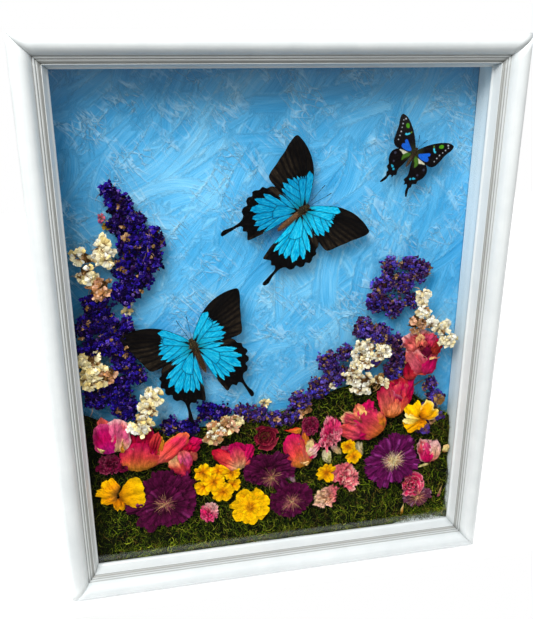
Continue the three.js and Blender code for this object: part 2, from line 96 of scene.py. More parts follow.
def kept_in_room(points):
    """Held between the panel and the liners, and pressed back softly where it nears the glass."""
    reach = np.array([ROOM_HALF_WIDTH, PANEL_FRONT - 0.5, ROOM_HALF_HEIGHT])
    held = np.clip(points, -reach, reach)
    past = np.maximum(GLASS_BACK + PRESSED - held[:, 1], 0)
    held[:, 1] += past - PRESSED * (1 - np.exp(-past / PRESSED))
    return held


# Building meshes

def unit(vectors):
    """Each vector at length one."""
    return vectors / np.maximum(np.linalg.norm(vectors, axis=-1, keepdims=True), 1e-9)


def circle(count, first, second):
    """Places round circles of radius one, as one row of places for each pair of crossing directions."""
    turns = (2 * math.pi * np.arange(count) / count)[None, :, None]
    return np.cos(turns) * first[:, None] + np.sin(turns) * second[:, None]


def fan(count, offset, middle, opened=False):
    """Triangles from a middle point to a ring of that many points. The opened one faces the other way."""
    ring = offset + np.arange(count)
    after = offset + (np.arange(count) + 1) % count
    sides = (ring, after) if opened else (after, ring)
    return np.column_stack([np.full(count, middle), *sides])


def copies(triangles, count, stride):
    """The triangles of one small mesh, repeated for that many of them."""
    return (np.asarray(triangles)[None] + (stride * np.arange(count))[:, None, None]).reshape(-1, 3)


def add_piece(name, points, triangles, material, slot, **layers):
    """A mesh piece that rides on the box. Each layer is one number, vector or colour for each point."""
    mesh = bpy.data.meshes.new(name)
    points = to_part(points).astype(np.float32)
    triangles = np.asarray(triangles, dtype=np.int32)
    mesh.vertices.add(len(points))
    mesh.vertices.foreach_set("co", points.ravel())
    mesh.loops.add(triangles.size)
    mesh.loops.foreach_set("vertex_index", triangles.ravel())
    mesh.polygons.add(len(triangles))
    mesh.polygons.foreach_set("loop_start", np.arange(0, triangles.size, 3, dtype=np.int32))
    mesh.polygons.foreach_set("use_smooth", np.ones(len(triangles), dtype=bool))
    mesh.update(calc_edges=True)
    for key, values in layers.items():
        values = np.asarray(values, dtype=np.float32)
        if values.ndim == 1:
            mesh.attributes.new(key, "FLOAT", "POINT").data.foreach_set("value", values)
        elif key == "tint":
            colours = np.column_stack([values, np.ones(len(values), dtype=np.float32)])
            mesh.attributes.new(key, "FLOAT_COLOR", "POINT").data.foreach_set("color", colours.ravel())
        else:
            mesh.attributes.new(key, "FLOAT_VECTOR", "POINT").data.foreach_set("vector", values.ravel())
    piece = bpy.data.objects.new(name, mesh)
    scene.collection.objects.link(piece)
    mesh.materials.append(material)
    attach(piece, "root")
    return piece


def grid_triangles(rows, columns, closed=False):
    """Triangles of a grid of rows by columns points, whose last column may join its first."""
    row, column = np.meshgrid(np.arange(rows - 1), np.arange(columns if closed else columns - 1),
                              indexing="ij")
    after = (column + 1) % columns
    a = (row * columns + column).ravel()
    b = (row * columns + after).ravel()
    c = ((row + 1) * columns + after).ravel()
    d = ((row + 1) * columns + column).ravel()
    return np.concatenate([np.column_stack([a, b, c]), np.column_stack([a, c, d])])


class Pile:
    """Gathers many small meshes, with their layers, into one piece."""

    def __init__(self):
        self.points = []
        self.triangles = []
        self.layers = {}
        self.count = 0

    def add(self, points, triangles, **layers):
        """Adds a mesh. A layer that is a single colour holds for all its points."""
        points = np.asarray(points, dtype=float)
        self.points.append(points)
        self.triangles.append(np.asarray(triangles) + self.count)
        self.count += len(points)
        for key, values in layers.items():
            values = np.asarray(values, dtype=float)
            if key == "tint" and values.ndim == 1:
                values = np.tile(values, (len(points), 1))
            self.layers.setdefault(key, []).append(values)

    def hold(self):
        """Keeps all its points in the room between the glass and the panel."""
        self.points = [kept_in_room(points) for points in self.points]

    def finish(self, name, material, slot):
        layers = {key: np.concatenate(values) for key, values in self.layers.items()}
        return add_piece(name, np.concatenate(self.points), np.concatenate(self.triangles), material, slot,
                         **layers)


# Building materials

class Nodes:
    """A node tree, to which nodes are added with values or links on their sockets."""

    def __init__(self, owner):
        owner.use_nodes = True
        self.tree = owner.node_tree

    def set(self, node, inputs):
        for socket, value in inputs.items():
            if isinstance(value, bpy.types.NodeSocket):
                self.tree.links.new(value, node.inputs[socket])
            elif value is not None:
                node.inputs[socket].default_value = value
        return node

    def node(self, kind, inputs=None, **settings):
        made = self.tree.nodes.new("ShaderNode" + kind)
        for key, value in settings.items():
            setattr(made, key, value)
        return self.set(made, inputs or {})

    def spread(self, value, low, high, first, last):
        """A value between two limits, turned into a share between the first and the last."""
        return self.node("MapRange", {"Value": value, "From Min": low, "From Max": high, "To Min": first,
                                      "To Max": last}).outputs[0]


class Finish(Nodes):
    """A node material with one Principled shader. Plain values go on the shader's own sockets."""

    def __init__(self, name, **settings):
        self.material = bpy.data.materials.new(name)
        super().__init__(self.material)
        self.shader = self.tree.nodes["Principled BSDF"]
        self.set(self.shader, {socket.replace("_", " "): value for socket, value in settings.items()})

    def layer(self, name, output="Fac"):
        return self.node("Attribute", attribute_name=name).outputs[output]

    def scaled(self, vector, scale, turn=(0, 0, 0)):
        return self.node("Mapping", {"Vector": vector, "Scale": scale, "Rotation": turn}).outputs["Vector"]

    def place(self, scale=(1, 1, 1)):
        """Places in the part's frame, in millimetres, stretched by the given scale."""
        spot = self.node("TexCoord").outputs["Object"]
        return self.scaled(spot, [1000 * value for value in scale])

    def noise(self, scale, vector, detail=3.0, roughness=0.5, distortion=0.0):
        return self.node("TexNoise", {
            "Vector": vector, "Scale": scale, "Detail": detail, "Roughness": roughness,
            "Distortion": distortion,
        }).outputs["Fac"]

    def math(self, operation, first, second=None):
        made = self.node("Math", {0: first, 1: second}, operation=operation)
        return made.outputs[0]

    def ramp(self, factor, stops):
        """Colours along a factor, from (place, colour) pairs. A plain number stands for a grey."""
        made = self.node("ValToRGB", {"Fac": factor})
        elements = made.color_ramp.elements
        while len(elements) < len(stops):
            elements.new(0.5)
        for element, (spot, colour) in zip(elements, stops):
            element.position = spot
            colour = [colour] * 3 if np.isscalar(colour) else colour
            element.color = (*colour, 1)
        return made.outputs["Color"]

    def mix(self, factor, first, second, blend="MIX"):
        made = self.node("Mix", data_type="RGBA", blend_type=blend)
        first, second = (colour if isinstance(colour, bpy.types.NodeSocket) else (*colour, 1)
                         for colour in (first, second))
        return self.set(made, {0: factor, 6: first, 7: second}).outputs[2]

    def bump(self, height, depth, strength=1.0, below=None):
        """A bump of that depth in millimetres."""
        return self.node("Bump", {"Height": height, "Distance": depth / 1000, "Strength": strength,
                                  "Normal": below}).outputs["Normal"]

    def finish(self, **links):
        self.set(self.shader, {socket.replace("_", " "): link for socket, link in links.items()})
        return self.material


# Camera, light and floor, at the photograph's viewing angle

SKY_LIGHT = 1.05
ROOM_LIGHT = 0.3
MIRRORED_ROOM_LIGHT = 0.02  # what the glass mirrors of the room
FLOOR_EDGES = (-2.0, 2.0, -0.05, 2.0)
CAMERA_LENS = 40.466
CAMERA_PLACE = (-0.14193, -0.6332, 0.5314)
CAMERA_RIGHT = Vector((0.97985, -0.19971, -0.00224))
CAMERA_DOWN = Vector((-0.07002, -0.33297, -0.94034))
CAMERA_AHEAD = Vector((0.18705, 0.92155, -0.34023))


def add_camera():
    lens = bpy.data.cameras.new("camera")
    lens.sensor_width = 36
    lens.lens = CAMERA_LENS
    lens.clip_start = 0.01
    camera = bpy.data.objects.new("camera", lens)
    turn = Matrix((CAMERA_RIGHT, -CAMERA_DOWN, -CAMERA_AHEAD)).transposed().to_4x4()
    camera.matrix_world = Matrix.Translation(CAMERA_PLACE) @ turn
    scene.collection.objects.link(camera)
    scene.camera = camera


def add_light(name, place, target, size, power):
    lamp = bpy.data.lights.new(name, "AREA")
    lamp.energy = power
    lamp.size = size
    light = bpy.data.objects.new(name, lamp)
    aim = Vector(target) - Vector(place)
    light.matrix_world = Matrix.Translation(place) @ aim.to_track_quat("-Z", "Y").to_matrix().to_4x4()
    scene.collection.objects.link(light)


def add_world():
    """White behind the object, and for its light a bright upper half over a darker room."""
    scene.world = bpy.data.worlds.new("studio")
    world = Nodes(scene.world)
    ahead = world.node("TexCoord").outputs["Generated"]
    height = world.node("SeparateXYZ", {0: ahead}).outputs["Z"]
    path = world.node("LightPath").outputs
    below = world.spread(path["Is Glossy Ray"], 0, 1, ROOM_LIGHT, MIRRORED_ROOM_LIGHT)
    dome = world.spread(height, -0.12, 0.25, below, SKY_LIGHT)
    lit = world.set(world.tree.nodes["Background"], {"Color": (1, 1, 1, 1), "Strength": dome})
    seen = world.node("Background", {"Color": (1, 1, 1, 1)})
    choose = world.node("MixShader", {0: path["Is Camera Ray"], 1: lit.outputs[0], 2: seen.outputs[0]})
    world.set(world.tree.nodes["World Output"], {"Surface": choose.outputs[0]})


def add_floor():
    pale = Finish("pale_floor", Roughness=0.9, Emission_Strength=0.14, Emission_Color=(1, 1, 1, 1))
    speck = pale.noise(0.02, pale.place(), detail=4)
    colour = pale.ramp(speck, [(0.3, (0.93, 0.93, 0.93)), (0.7, (0.96, 0.96, 0.96))])
    left, right, front, back = FLOOR_EDGES
    corners = [(left, front), (right, front), (right, back), (left, back)]
    mesh = bpy.data.meshes.new("floor")
    mesh.from_pydata([(x, y, -0.0005) for x, y in corners], [], [(0, 1, 2, 3)])
    mesh.materials.append(pale.finish(Base_Color=colour))
    floor = bpy.data.objects.new("floor", mesh)
    scene.collection.objects.link(floor)


def add_surroundings():
    add_world()
    add_floor()
    add_light("key", (-0.75, -1.2, 1.7), (0, 0, 0.3), 0.9, 37)
    scene.view_settings.view_transform = "Standard"
    scene.cycles.use_denoising = True
    scene.cycles.caustics_reflective = False
    scene.cycles.caustics_refractive = False
    scene.cycles.max_bounces = 8


# The moulding, with its steps rounded as paint rounds them

LIP_SECTION = [
    (6, 3), (0.4, 3), (0, 2.6), (0, 0.3), (0.3, 0), (1.3, -0.7), (1.6, -1.2), (3.4, -9.8), (3.7, -10.4),
    (4.0, -10.1), (4.3, -9.6), (4.6, -9.9), (4.9, -10.8), (5.3, -11.2), (6.9, -12.0), (7.2, -12.2),
    (7.5, -11.8), (7.8, -11.3), (8.0, -11.8), (8.2, -12.7), (8.5, -13.1), (9.1, -13.2), (9.5, -13.1),
]
GROOVES = [(4.3, -9.6), (5.3, -11.2), (7.8, -11.3), (10.2, -12.4)]
# Painted shade: the top and bottom rails' paint is greyed, so that they look less lit than the side rails.
RAIL_PAINTED_SHADE = (0.45, 0.0, 1.0, 0.0)  # how grey each rail's paint is, in the order of RAILS
RAIL_STEPS = 61
ROUND_MIDDLE = (19.6, -10.5)
ROUND_RADII = (9.4, 11.46)
ROUND_START = 0.945 * math.pi
ROUND_STEPS = 30
OUTER_CORNERS = [(29, 44.5), (28.5, 45), (6.5, 45), (6, 44.5)]
RAILS = {
    "frame_top_rail": (OPENING_HALF_WIDTH, OPENING_HALF_HEIGHT, 0),
    "frame_right_stile": (OPENING_HALF_HEIGHT, OPENING_HALF_WIDTH, 1),
    "frame_bottom_rail": (OPENING_HALF_WIDTH, OPENING_HALF_HEIGHT, 2),
    "frame_left_stile": (OPENING_HALF_HEIGHT, OPENING_HALF_WIDTH, 3),
}


def moulding_section():
    """Points outward from the opening and back in depth, as a closed ring."""
    turns = ROUND_START * (1 - np.arange(ROUND_STEPS + 1) / ROUND_STEPS)
    across = ROUND_MIDDLE[0] + ROUND_RADII[0] * np.cos(turns)
    depth = ROUND_MIDDLE[1] - ROUND_RADII[1] * np.sin(turns)
    side = [(29, depth_down) for depth_down in (0, 11, 22, 33)]
    back = [(20, 45), (13, 45)]
    ring = LIP_SECTION + list(zip(across, depth)) + side + OUTER_CORNERS[:2] + back + OUTER_CORNERS[2:]
    return np.array(ring + [(6, 24)], dtype=float)


def quarter_turned(x, z, quarters):
    """Turned clockwise in the picture by quarters of a turn."""
    for _ in range(quarters):
        x, z = z, -x
    return x, z


def add_rails(material):
    ring = moulding_section()
    groove = np.zeros(len(ring))
    # The groove layer marks painted shade with some dirt in the hollows: round each groove, and over the
    # stepped part of the lip.
    for across, depth in GROOVES:
        groove = np.maximum(groove, np.exp(-((ring[:, 0] - across) ** 2 + (ring[:, 1] - depth) ** 2) / 0.4))
    groove[(ring[:, 0] > 4) & (ring[:, 0] < 9.6) & (ring[:, 1] < 0)] += 0.3
    cut = delaunay_2d_cdt([Vector(corner) for corner in ring], [], [list(range(len(ring)))], 1, 1e-6)
    end = np.array([[cut[3][corner][0] for corner in face] for face in cut[2]])
    triangles = np.concatenate([grid_triangles(RAIL_STEPS, len(ring), closed=True), end[:, ::-1],
                                end + (RAIL_STEPS - 1) * len(ring)])
    for name, (half_length, distance, quarters) in RAILS.items():
        share = np.linspace(-1, 1, RAIL_STEPS)[:, None]
        along = share * (half_length + ring[None, :, 0] - MITRE_GAP)
        outward = distance + np.broadcast_to(ring[:, 0], along.shape)
        depth = np.broadcast_to(ring[:, 1], along.shape)
        x, z = quarter_turned(along, outward, quarters)
        points = np.column_stack([x.ravel(), depth.ravel(), z.ravel()])
        grain = np.column_stack([along.ravel(), outward.ravel(), depth.ravel()])
        rail = add_piece(name + "_painted", points, triangles, material, "white_paint", grain=grain,
                         groove=np.tile(groove, RAIL_STEPS), worn=np.full(len(points), RAIL_PAINTED_SHADE[quarters]))
        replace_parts(rail, name)


def white_paint():
    paint = Finish("white_paint", Specular_IOR_Level=0.45, Coat_Weight=0.12, Coat_Roughness=0.25)
    along_rail = paint.scaled(paint.layer("grain", "Vector"), (0.012, 0.5, 0.5))
    grain = paint.noise(1.0, along_rail, detail=5, roughness=0.65, distortion=0.4)
    mottle = paint.noise(0.03, paint.place(), detail=4, roughness=0.6)
    peel = paint.noise(0.55, paint.place(), detail=2)
    colour = paint.ramp(mottle, [(0.3, srgb(218, 223, 223)), (0.7, srgb(230, 234, 233))])
    streaked = paint.mix(paint.ramp(grain, [(0.35, 0.0), (0.75, 0.35)]), colour, srgb(206, 212, 212))
    shade_greyed = paint.mix(1.0, streaked, (0.86, 0.87, 0.88), blend="MULTIPLY")
    # painted shade: each rail's paint greyed by its share
    streaked = paint.mix(paint.layer("worn"), streaked, shade_greyed)
    # painted shade with some dirt: the grooves and the stepped part of the lip drawn greyer
    darkened = paint.mix(paint.math("MULTIPLY", paint.layer("groove"), 0.8), streaked, srgb(136, 136, 130))
    rough = paint.ramp(mottle, [(0.3, 0.34), (0.7, 0.5)])
    normal = paint.bump(peel, 0.05, 0.5, below=paint.bump(grain, 0.12, 0.6))
    return paint.finish(Base_Color=darkened, Roughness=rough, Normal=normal)


# Glass, liners and backing, which keep their CAD shapes

def clear_glass():
    return Finish("clear_glass", Roughness=0.0, IOR=1.45, Specular_IOR_Level=0.16, Transmission_Weight=1.0,
                  Base_Color=(0.985, 0.995, 0.992, 1)).finish()


def liner_board():
    board = Finish("liner_board")
    fibre = board.noise(0.9, board.place((1, 0.2, 1)), detail=6, roughness=0.7)
    cloud = board.noise(0.02, board.place(), detail=3)
    colour = board.mix(board.ramp(fibre, [(0.3, 0.0), (0.75, 0.6)]), srgb(230, 239, 240),
                       srgb(246, 250, 248))
    shaded = board.mix(board.ramp(cloud, [(0.3, 0.0), (0.7, 0.25)]), colour, srgb(216, 229, 232))
    return board.finish(Base_Color=shaded, Roughness=board.ramp(fibre, [(0.0, 0.75), (1.0, 0.95)]),
                        Normal=board.bump(fibre, 0.08, 0.5))


def hardboard():
    board = Finish("hardboard", Specular_IOR_Level=0.25)
    fleck = board.noise(0.35, board.place((1, 1, 0.6)), detail=8, roughness=0.75)
    cloud = board.noise(0.012, board.place(), detail=3)
    colour = board.ramp(fleck, [(0.25, srgb(84, 54, 32)), (0.5, srgb(128, 90, 58)),
                                (0.8, srgb(164, 124, 86))])
    darkened = board.mix(board.ramp(cloud, [(0.35, 0.0), (0.7, 0.4)]), colour, srgb(96, 66, 42))
    return board.finish(Base_Color=darkened, Roughness=board.ramp(fleck, [(0.0, 0.6), (1.0, 0.85)]),
                        Normal=board.bump(fleck, 0.15, 0.6))


def dress(node, material):
    """A new material on a CAD node that keeps its shape."""
    slots = nodes[node].data.materials
    slots.clear()
    slots.append(material)


def add_glass():
    dress("glass_pane", clear_glass())
    nodes["glass_pane"].visible_shadow = False
    nodes["glass_pane"].visible_diffuse = False


# The painted plaster: trowel strokes laid one over another, each with fine streaks and a ridge at its edges

PLASTER_COLUMNS = 200
PLASTER_ROWS = 250
TROWEL_STROKES = 1500
PLASTER_RELIEF = 0.55
STROKE_COVER = 0.9  # how far a stroke levels what lies under it
# Painted shade, partly deeper paint: darker blue at the left and top, in the frame's shadow, and a little at
# the bottom and right.
# Where the blue deepens: the axis, the places in metres where that starts and ends, and its share at each
PLASTER_SHADE = [("X", -0.2, -0.09, 0.6, 0.0), ("Z", 0.42, 0.53, 0.0, 0.5), ("Z", 0.12, 0.34, 0.22, 0.0),
               ("X", 0.03, 0.18, 0.0, 0.14)]
# Sets of fine raised crests: slant in degrees, fineness along and across, and where the clouds show them
RAISED_CRESTS = [(-44, 0.012, 0.07, 0.42, 0.56), (-58, 0.02, 0.13, 0.46, 0.6), (-20, 0.016, 0.09, 0.5, 0.62)]


def trowel_strokes(x, z, random):
    """Height, and along and across places in the uppermost stroke, for each point of a grid."""
    shape = x.shape
    height = np.zeros(shape)
    local = np.zeros((*shape, 3))
    columns, rows = x[0], z[:, 0]
    for stroke in range(TROWEL_STROKES):
        middle = np.array([random.uniform(-210, 210), random.uniform(-260, 260)])
        heading = random.normal(48, 24) + 18 * math.sin(middle[0] / 90) * math.cos(middle[1] / 110)
        heading = math.radians(heading)
        length = random.uniform(35, 130)
        half_width = random.uniform(2.5, 11)
        bend = random.choice([-1, 1]) * random.uniform(60, 420)
        level = random.normal(0, 0.16)
        tilt = random.normal(0, 0.16)
        ridges = random.uniform(0.1, 0.8, 2) * random.choice([0.3, 1], 2)
        reach = length / 2 + half_width
        c0, c1 = np.searchsorted(columns, [middle[0] - reach, middle[0] + reach])
        r0, r1 = np.searchsorted(rows, [middle[1] - reach, middle[1] + reach])
        if c1 - c0 < 2 or r1 - r0 < 2:
            continue
        window = (slice(r0, r1), slice(c0, c1))
        normal = np.array([-math.sin(heading), math.cos(heading)])
        centre = middle + bend * normal
        dx, dz = x[window] - centre[0], z[window] - centre[1]
        across = (np.hypot(dx, dz) - abs(bend)) * math.copysign(1, bend)
        facing = np.arctan2(dz, dx) - math.atan2(middle[1] - centre[1], middle[0] - centre[0])
        along = abs(bend) * ((facing + math.pi) % (2 * math.pi) - math.pi)
        ragged = 4 * np.sin(across * 0.9 + stroke) + 3 * np.sin(across * 2.3 + 2 * stroke)
        inside = (smooth_step(half_width, half_width - 0.8, np.abs(across))
                  * smooth_step(length / 2, length / 2 - 9, np.abs(along) + ragged))
        fade = smooth_step(length / 2, length / 3, np.abs(along))
        edges = (ridges[0] * np.exp(-((across - half_width) / 0.9) ** 2)
                 + ridges[1] * np.exp(-((across + half_width) / 0.9) ** 2)) * fade
        laid = level + tilt * across / half_width
        cover = STROKE_COVER * inside
        height[window] = height[window] * (1 - cover) + laid * cover + edges
        over = inside > 0.5
        for axis, value in enumerate((along, across, np.full(across.shape, 7.3 * stroke))):
            local[window][..., axis][over] = value[over]
    return height, local


def add_plaster(material):
    random = np.random.default_rng(41)
    x, z = np.meshgrid(np.linspace(-PANEL_HALF_WIDTH, PANEL_HALF_WIDTH, PLASTER_COLUMNS),
                       np.linspace(-PANEL_HALF_HEIGHT, PANEL_HALF_HEIGHT, PLASTER_ROWS))
    height, local = trowel_strokes(x, z, random)
    height = np.clip(height, -0.9, 1.3)
    edge = np.minimum(PANEL_HALF_WIDTH - np.abs(x), PANEL_HALF_HEIGHT - np.abs(z))
    depth = PANEL_FRONT + 0.7 - PLASTER_RELIEF * height * smooth_step(0, 3, edge)
    sheet = np.column_stack([x.ravel(), depth.ravel(), z.ravel()])
    triangles = grid_triangles(PLASTER_ROWS, PLASTER_COLUMNS)
    place = np.arange(len(sheet)).reshape(x.shape)
    border = np.concatenate([place[0], place[1:, -1], place[-1, -2::-1], place[-2:0:-1, 0]])
    rim = sheet[border].copy()
    rim[:, 1] = PANEL_BACK
    below = len(sheet) + np.arange(len(border))
    after = np.roll(below, -1)
    wall = np.concatenate([np.column_stack([border, below, after]),
                           np.column_stack([border, after, np.roll(border, -1)])])
    corner = below[np.cumsum([0, PLASTER_COLUMNS - 1, PLASTER_ROWS - 1, PLASTER_COLUMNS - 1])]
    back = [corner[[0, 2, 1]], corner[[0, 3, 2]]]
    height, local = height.ravel(), local.reshape(-1, 3)
    panel = add_piece("plaster_panel", np.concatenate([sheet, rim]), np.concatenate([triangles, wall, back]),
                      material, "blue_plaster", height=np.concatenate([height, height[border]]),
                      stroke=np.concatenate([local, local[border]]))
    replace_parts(panel, "painted_panel")


def blue_plaster():
    plaster = Finish("blue_plaster", Specular_IOR_Level=0.12)
    stroke = plaster.layer("stroke", "Vector")
    streak = plaster.noise(1.0, plaster.scaled(stroke, (0.035, 0.9, 1)), detail=4, roughness=0.6)
    band = plaster.noise(1.0, plaster.scaled(stroke, (0.012, 0.22, 1)), detail=2)
    cloud = plaster.noise(0.011, plaster.place(), detail=3, roughness=0.6, distortion=0.5)
    height = plaster.math("MULTIPLY", plaster.layer("height"), 0.22)
    tone = plaster.math("ADD", plaster.math("MULTIPLY", streak, 0.4), plaster.math("MULTIPLY", band, 0.3))
    tone = plaster.math("ADD", plaster.math("ADD", tone, height), plaster.math("MULTIPLY", cloud, 0.4))
    colour = plaster.ramp(tone, [
        (0.28, srgb(34, 142, 202)), (0.44, srgb(66, 170, 227)), (0.56, srgb(96, 190, 242)),
        (0.7, srgb(132, 210, 250)), (0.92, srgb(190, 233, 252))])
    spot = plaster.node("SeparateXYZ", {0: plaster.node("TexCoord").outputs["Object"]}).outputs
    shaded = 0.0
    # painted shade: the blue drawn darker towards the left and top edges, and a little towards the bottom
    # and right
    for axis, *limits in PLASTER_SHADE:
        shaded = plaster.math("MAXIMUM", plaster.spread(spot[axis], *limits), shaded)
    colour = plaster.mix(shaded, colour, srgb(6, 94, 140))
    here = plaster.noise(0.03, plaster.place(), detail=2)
    crests = 0.0
    for turn, long, wide, low, high in RAISED_CRESTS:
        facing = plaster.scaled(plaster.place(), (1, 1, 1), (0, math.radians(turn), 0))
        contour = plaster.noise(1.0, plaster.scaled(facing, (long, 1, wide)), detail=1.5, distortion=0.9)
        crest = plaster.ramp(contour, [(0.47, 0.0), (0.5, 1.0), (0.53, 0.0)])
        crest = plaster.math("MULTIPLY", crest, plaster.spread(here, low, high, 0.0, 1.0))
        crests = plaster.math("MAXIMUM", crest, crests)
    # painted highlight: the raised crests drawn paler, as light catching them
    colour = plaster.mix(plaster.math("MULTIPLY", crests, 0.4), colour, srgb(200, 236, 250))
    bumped = plaster.bump(crests, 0.6, 0.9, below=plaster.bump(streak, 0.6, 0.8))
    return plaster.finish(Base_Color=colour, Roughness=plaster.ramp(streak, [(0.2, 0.5), (0.8, 0.75)]),
                          Normal=bumped)


# Filling outlines with fine triangles

def rounded(corners, spacing, closed=True):
    """A smooth line through the corners, with points about the given distance apart."""
    corners = np.asarray(corners, dtype=float)
    count = len(corners)
    made = []
    for i in range(count if closed else count - 1):
        if closed:
            before, start, end, after = (corners[(i + k) % count] for k in (-1, 0, 1, 2))
        else:
            before, start = corners[max(i - 1, 0)], corners[i]
            end, after = corners[i + 1], corners[min(i + 2, count - 1)]
        steps = max(1, round(np.linalg.norm(end - start) / spacing))
        t = (np.arange(steps) / steps)[:, None]
        made.append(0.5 * (2 * start + (end - before) * t
                           + (2 * before - 5 * start + 4 * end - after) * t ** 2
                           + (3 * start - before - 3 * end + after) * t ** 3))
    if not closed:
        made.append(corners[-1:])
    return np.concatenate(made)


def distance_to_line(points, line, closed=False):
    """Distance of each point to the nearest part of a line of points."""
    line = np.asarray(line, dtype=float)
    ends = np.roll(line, -1, axis=0) if closed else line[1:]
    starts = line if closed else line[:-1]
    best = np.full(len(points), np.inf)
    for start, end in zip(starts, ends):
        along = end - start
        share = np.clip((points - start) @ along / max(along @ along, 1e-9), 0, 1)
        best = np.minimum(best, np.linalg.norm(points - start - share[:, None] * along, axis=1))
    return best


def is_inside(points, outline):
    """Which points lie inside a closed outline."""
    outline = np.asarray(outline, dtype=float)
    inside = np.zeros(len(points), dtype=bool)
    for (x0, y0), (x1, y1) in zip(outline, np.roll(outline, -1, axis=0)):
        if y0 == y1:
            continue
        crosses = (points[:, 1] > min(y0, y1)) & (points[:, 1] <= max(y0, y1))
        inside ^= crosses & (points[:, 0] < x0 + (points[:, 1] - y0) * (x1 - x0) / (y1 - y0))
    return inside


def depth_inside(points, outline):
    """How far inside a closed outline each point is, negative outside."""
    return np.where(is_inside(points, outline), 1, -1) * distance_to_line(points, outline, closed=True)


def filled(outline, spacing):
    """Points and triangles that fill an outline, on a net of the given spacing."""
    low, high = outline.min(0), outline.max(0)
    net = np.array([(x + spacing / 2 * (row % 2), y)
                    for row, y in enumerate(np.arange(low[1], high[1], spacing * 0.866))
                    for x in np.arange(low[0], high[0], spacing)])
    points = np.concatenate([outline, net[depth_inside(net, outline) > 0.5 * spacing]])
    found = delaunay_2d_cdt([Vector(point) for point in points], [], [list(range(len(outline)))], 1, 1e-5)
    return np.array([tuple(point) for point in found[0]]), np.array(found[2])


# The butterflies, drawn about the thorax: x to the right wing, y towards the head

LARGE_FOREWING = [
    (1, 4), (3, 10), (10, 19), (20, 29), (33, 36.5), (46, 39.8), (58, 39.6), (61, 37), (60, 31),
    (58.2, 25.5), (56, 20), (54.2, 13.5), (52, 7), (49.5, -2), (46, -6.2), (36, -6.5), (18, -4.5), (3, -3)]
LARGE_HINDWING = [
    (2, -1), (18, 0), (31, -2), (36.2, -7), (38.6, -9.6), (40, -13.6), (43.6, -16), (43.4, -20),
    (45.6, -23.4), (46, -26.5), (43.2, -29), (44.6, -32.6), (43.4, -36.2), (39.4, -38.2), (40, -42),
    (38, -45.8), (33.6, -47.6), (31.4, -53), (32.3, -62), (35.2, -70), (34.4, -74.6), (31.4, -74.8),
    (30, -66), (28.3, -57), (25.4, -54.6), (22.4, -56.8), (19, -54.4), (15.6, -56.6), (12, -58.6),
    (9.5, -52), (7, -42), (4.5, -28), (2.5, -12)]
LARGE_BLUE = {
    "forewing": [(2.5, 2), (6, 8.5), (12.5, 16.5), (21.5, 25), (24.6, 24.6), (26, 20.5), (30, 14), (31.5, 8),
                 (31, 1), (28, -5), (19, -4.4), (5, -2.4)],
    "hindwing": [(3, -5), (7, -4.6), (19, -7), (31, -15.5), (35, -22), (35.5, -27.5), (32, -32), (31, -36),
                 (25.5, -38), (22, -41), (17, -42), (14, -43.5), (10, -41), (7.4, -33), (5, -18)],
}
LARGE_VEINS = {
    "forewing": [
        [(2, 3), (12, 12.5), (22.5, 21.5)], [(3, 1), (14, 7.6), (25, 13.5)],
        [(22.5, 21.5), (25.6, 17.5), (25, 13.5)], [(22.5, 21.5), (40, 33), (56, 39)],
        [(23.8, 20.2), (42, 30), (60, 36)], [(25, 18.6), (43, 26), (60, 31)],
        [(25.5, 16.6), (44, 21), (58.5, 25.8)], [(25, 13.5), (42, 15.5), (57, 20)],
        [(21.6, 11.7), (38, 10), (54, 13)], [(16.5, 9), (33, 4.5), (51.5, 5)],
        [(9.5, 5), (27, -0.5), (48, -3)], [(4, 0), (20, -3), (40, -6)]],
    "hindwing": [
        [(3, -4), (12, -8.5), (20, -16)], [(3, -6), (8, -18), (12.5, -27)],
        [(20, -16), (18, -23), (12.5, -27)], [(4, -3), (18, -2.5), (33, -5)],
        [(11, -8), (28, -12), (40.5, -16)], [(20, -16), (32, -20.5), (44.6, -26)],
        [(19.6, -19), (32, -28), (42.6, -36)], [(18, -22.6), (27, -36), (36, -47)],
        [(14.6, -26), (22, -42), (29.4, -57), (33, -72)], [(12.5, -27), (15.5, -42), (18, -55)],
        [(9.5, -21), (10, -38), (11, -52)]],
}
SMALL_FOREWING = [
    (1, 4), (6, 11), (11.5, 16.7), (18.5, 22), (25, 25.4), (30.6, 26), (32.2, 24), (31.4, 20), (29, 14),
    (27.5, 7), (25.5, 0.5), (22, -2.5), (18, -3), (12, -2), (3, -0.5)]
SMALL_HINDWING = [
    (2, 0.5), (10, 0), (17, -3), (21, -7), (22, -11), (20.8, -16), (18, -20), (18.2, -23), (15, -25.4),
    (15.4, -28), (14.2, -31), (16.3, -38), (14.7, -38.4), (12, -34), (11.2, -29.6), (9.4, -28), (7.6, -29.8),
    (6.6, -26.8), (4.5, -25.5), (6, -20), (4, -13), (2, -6)]
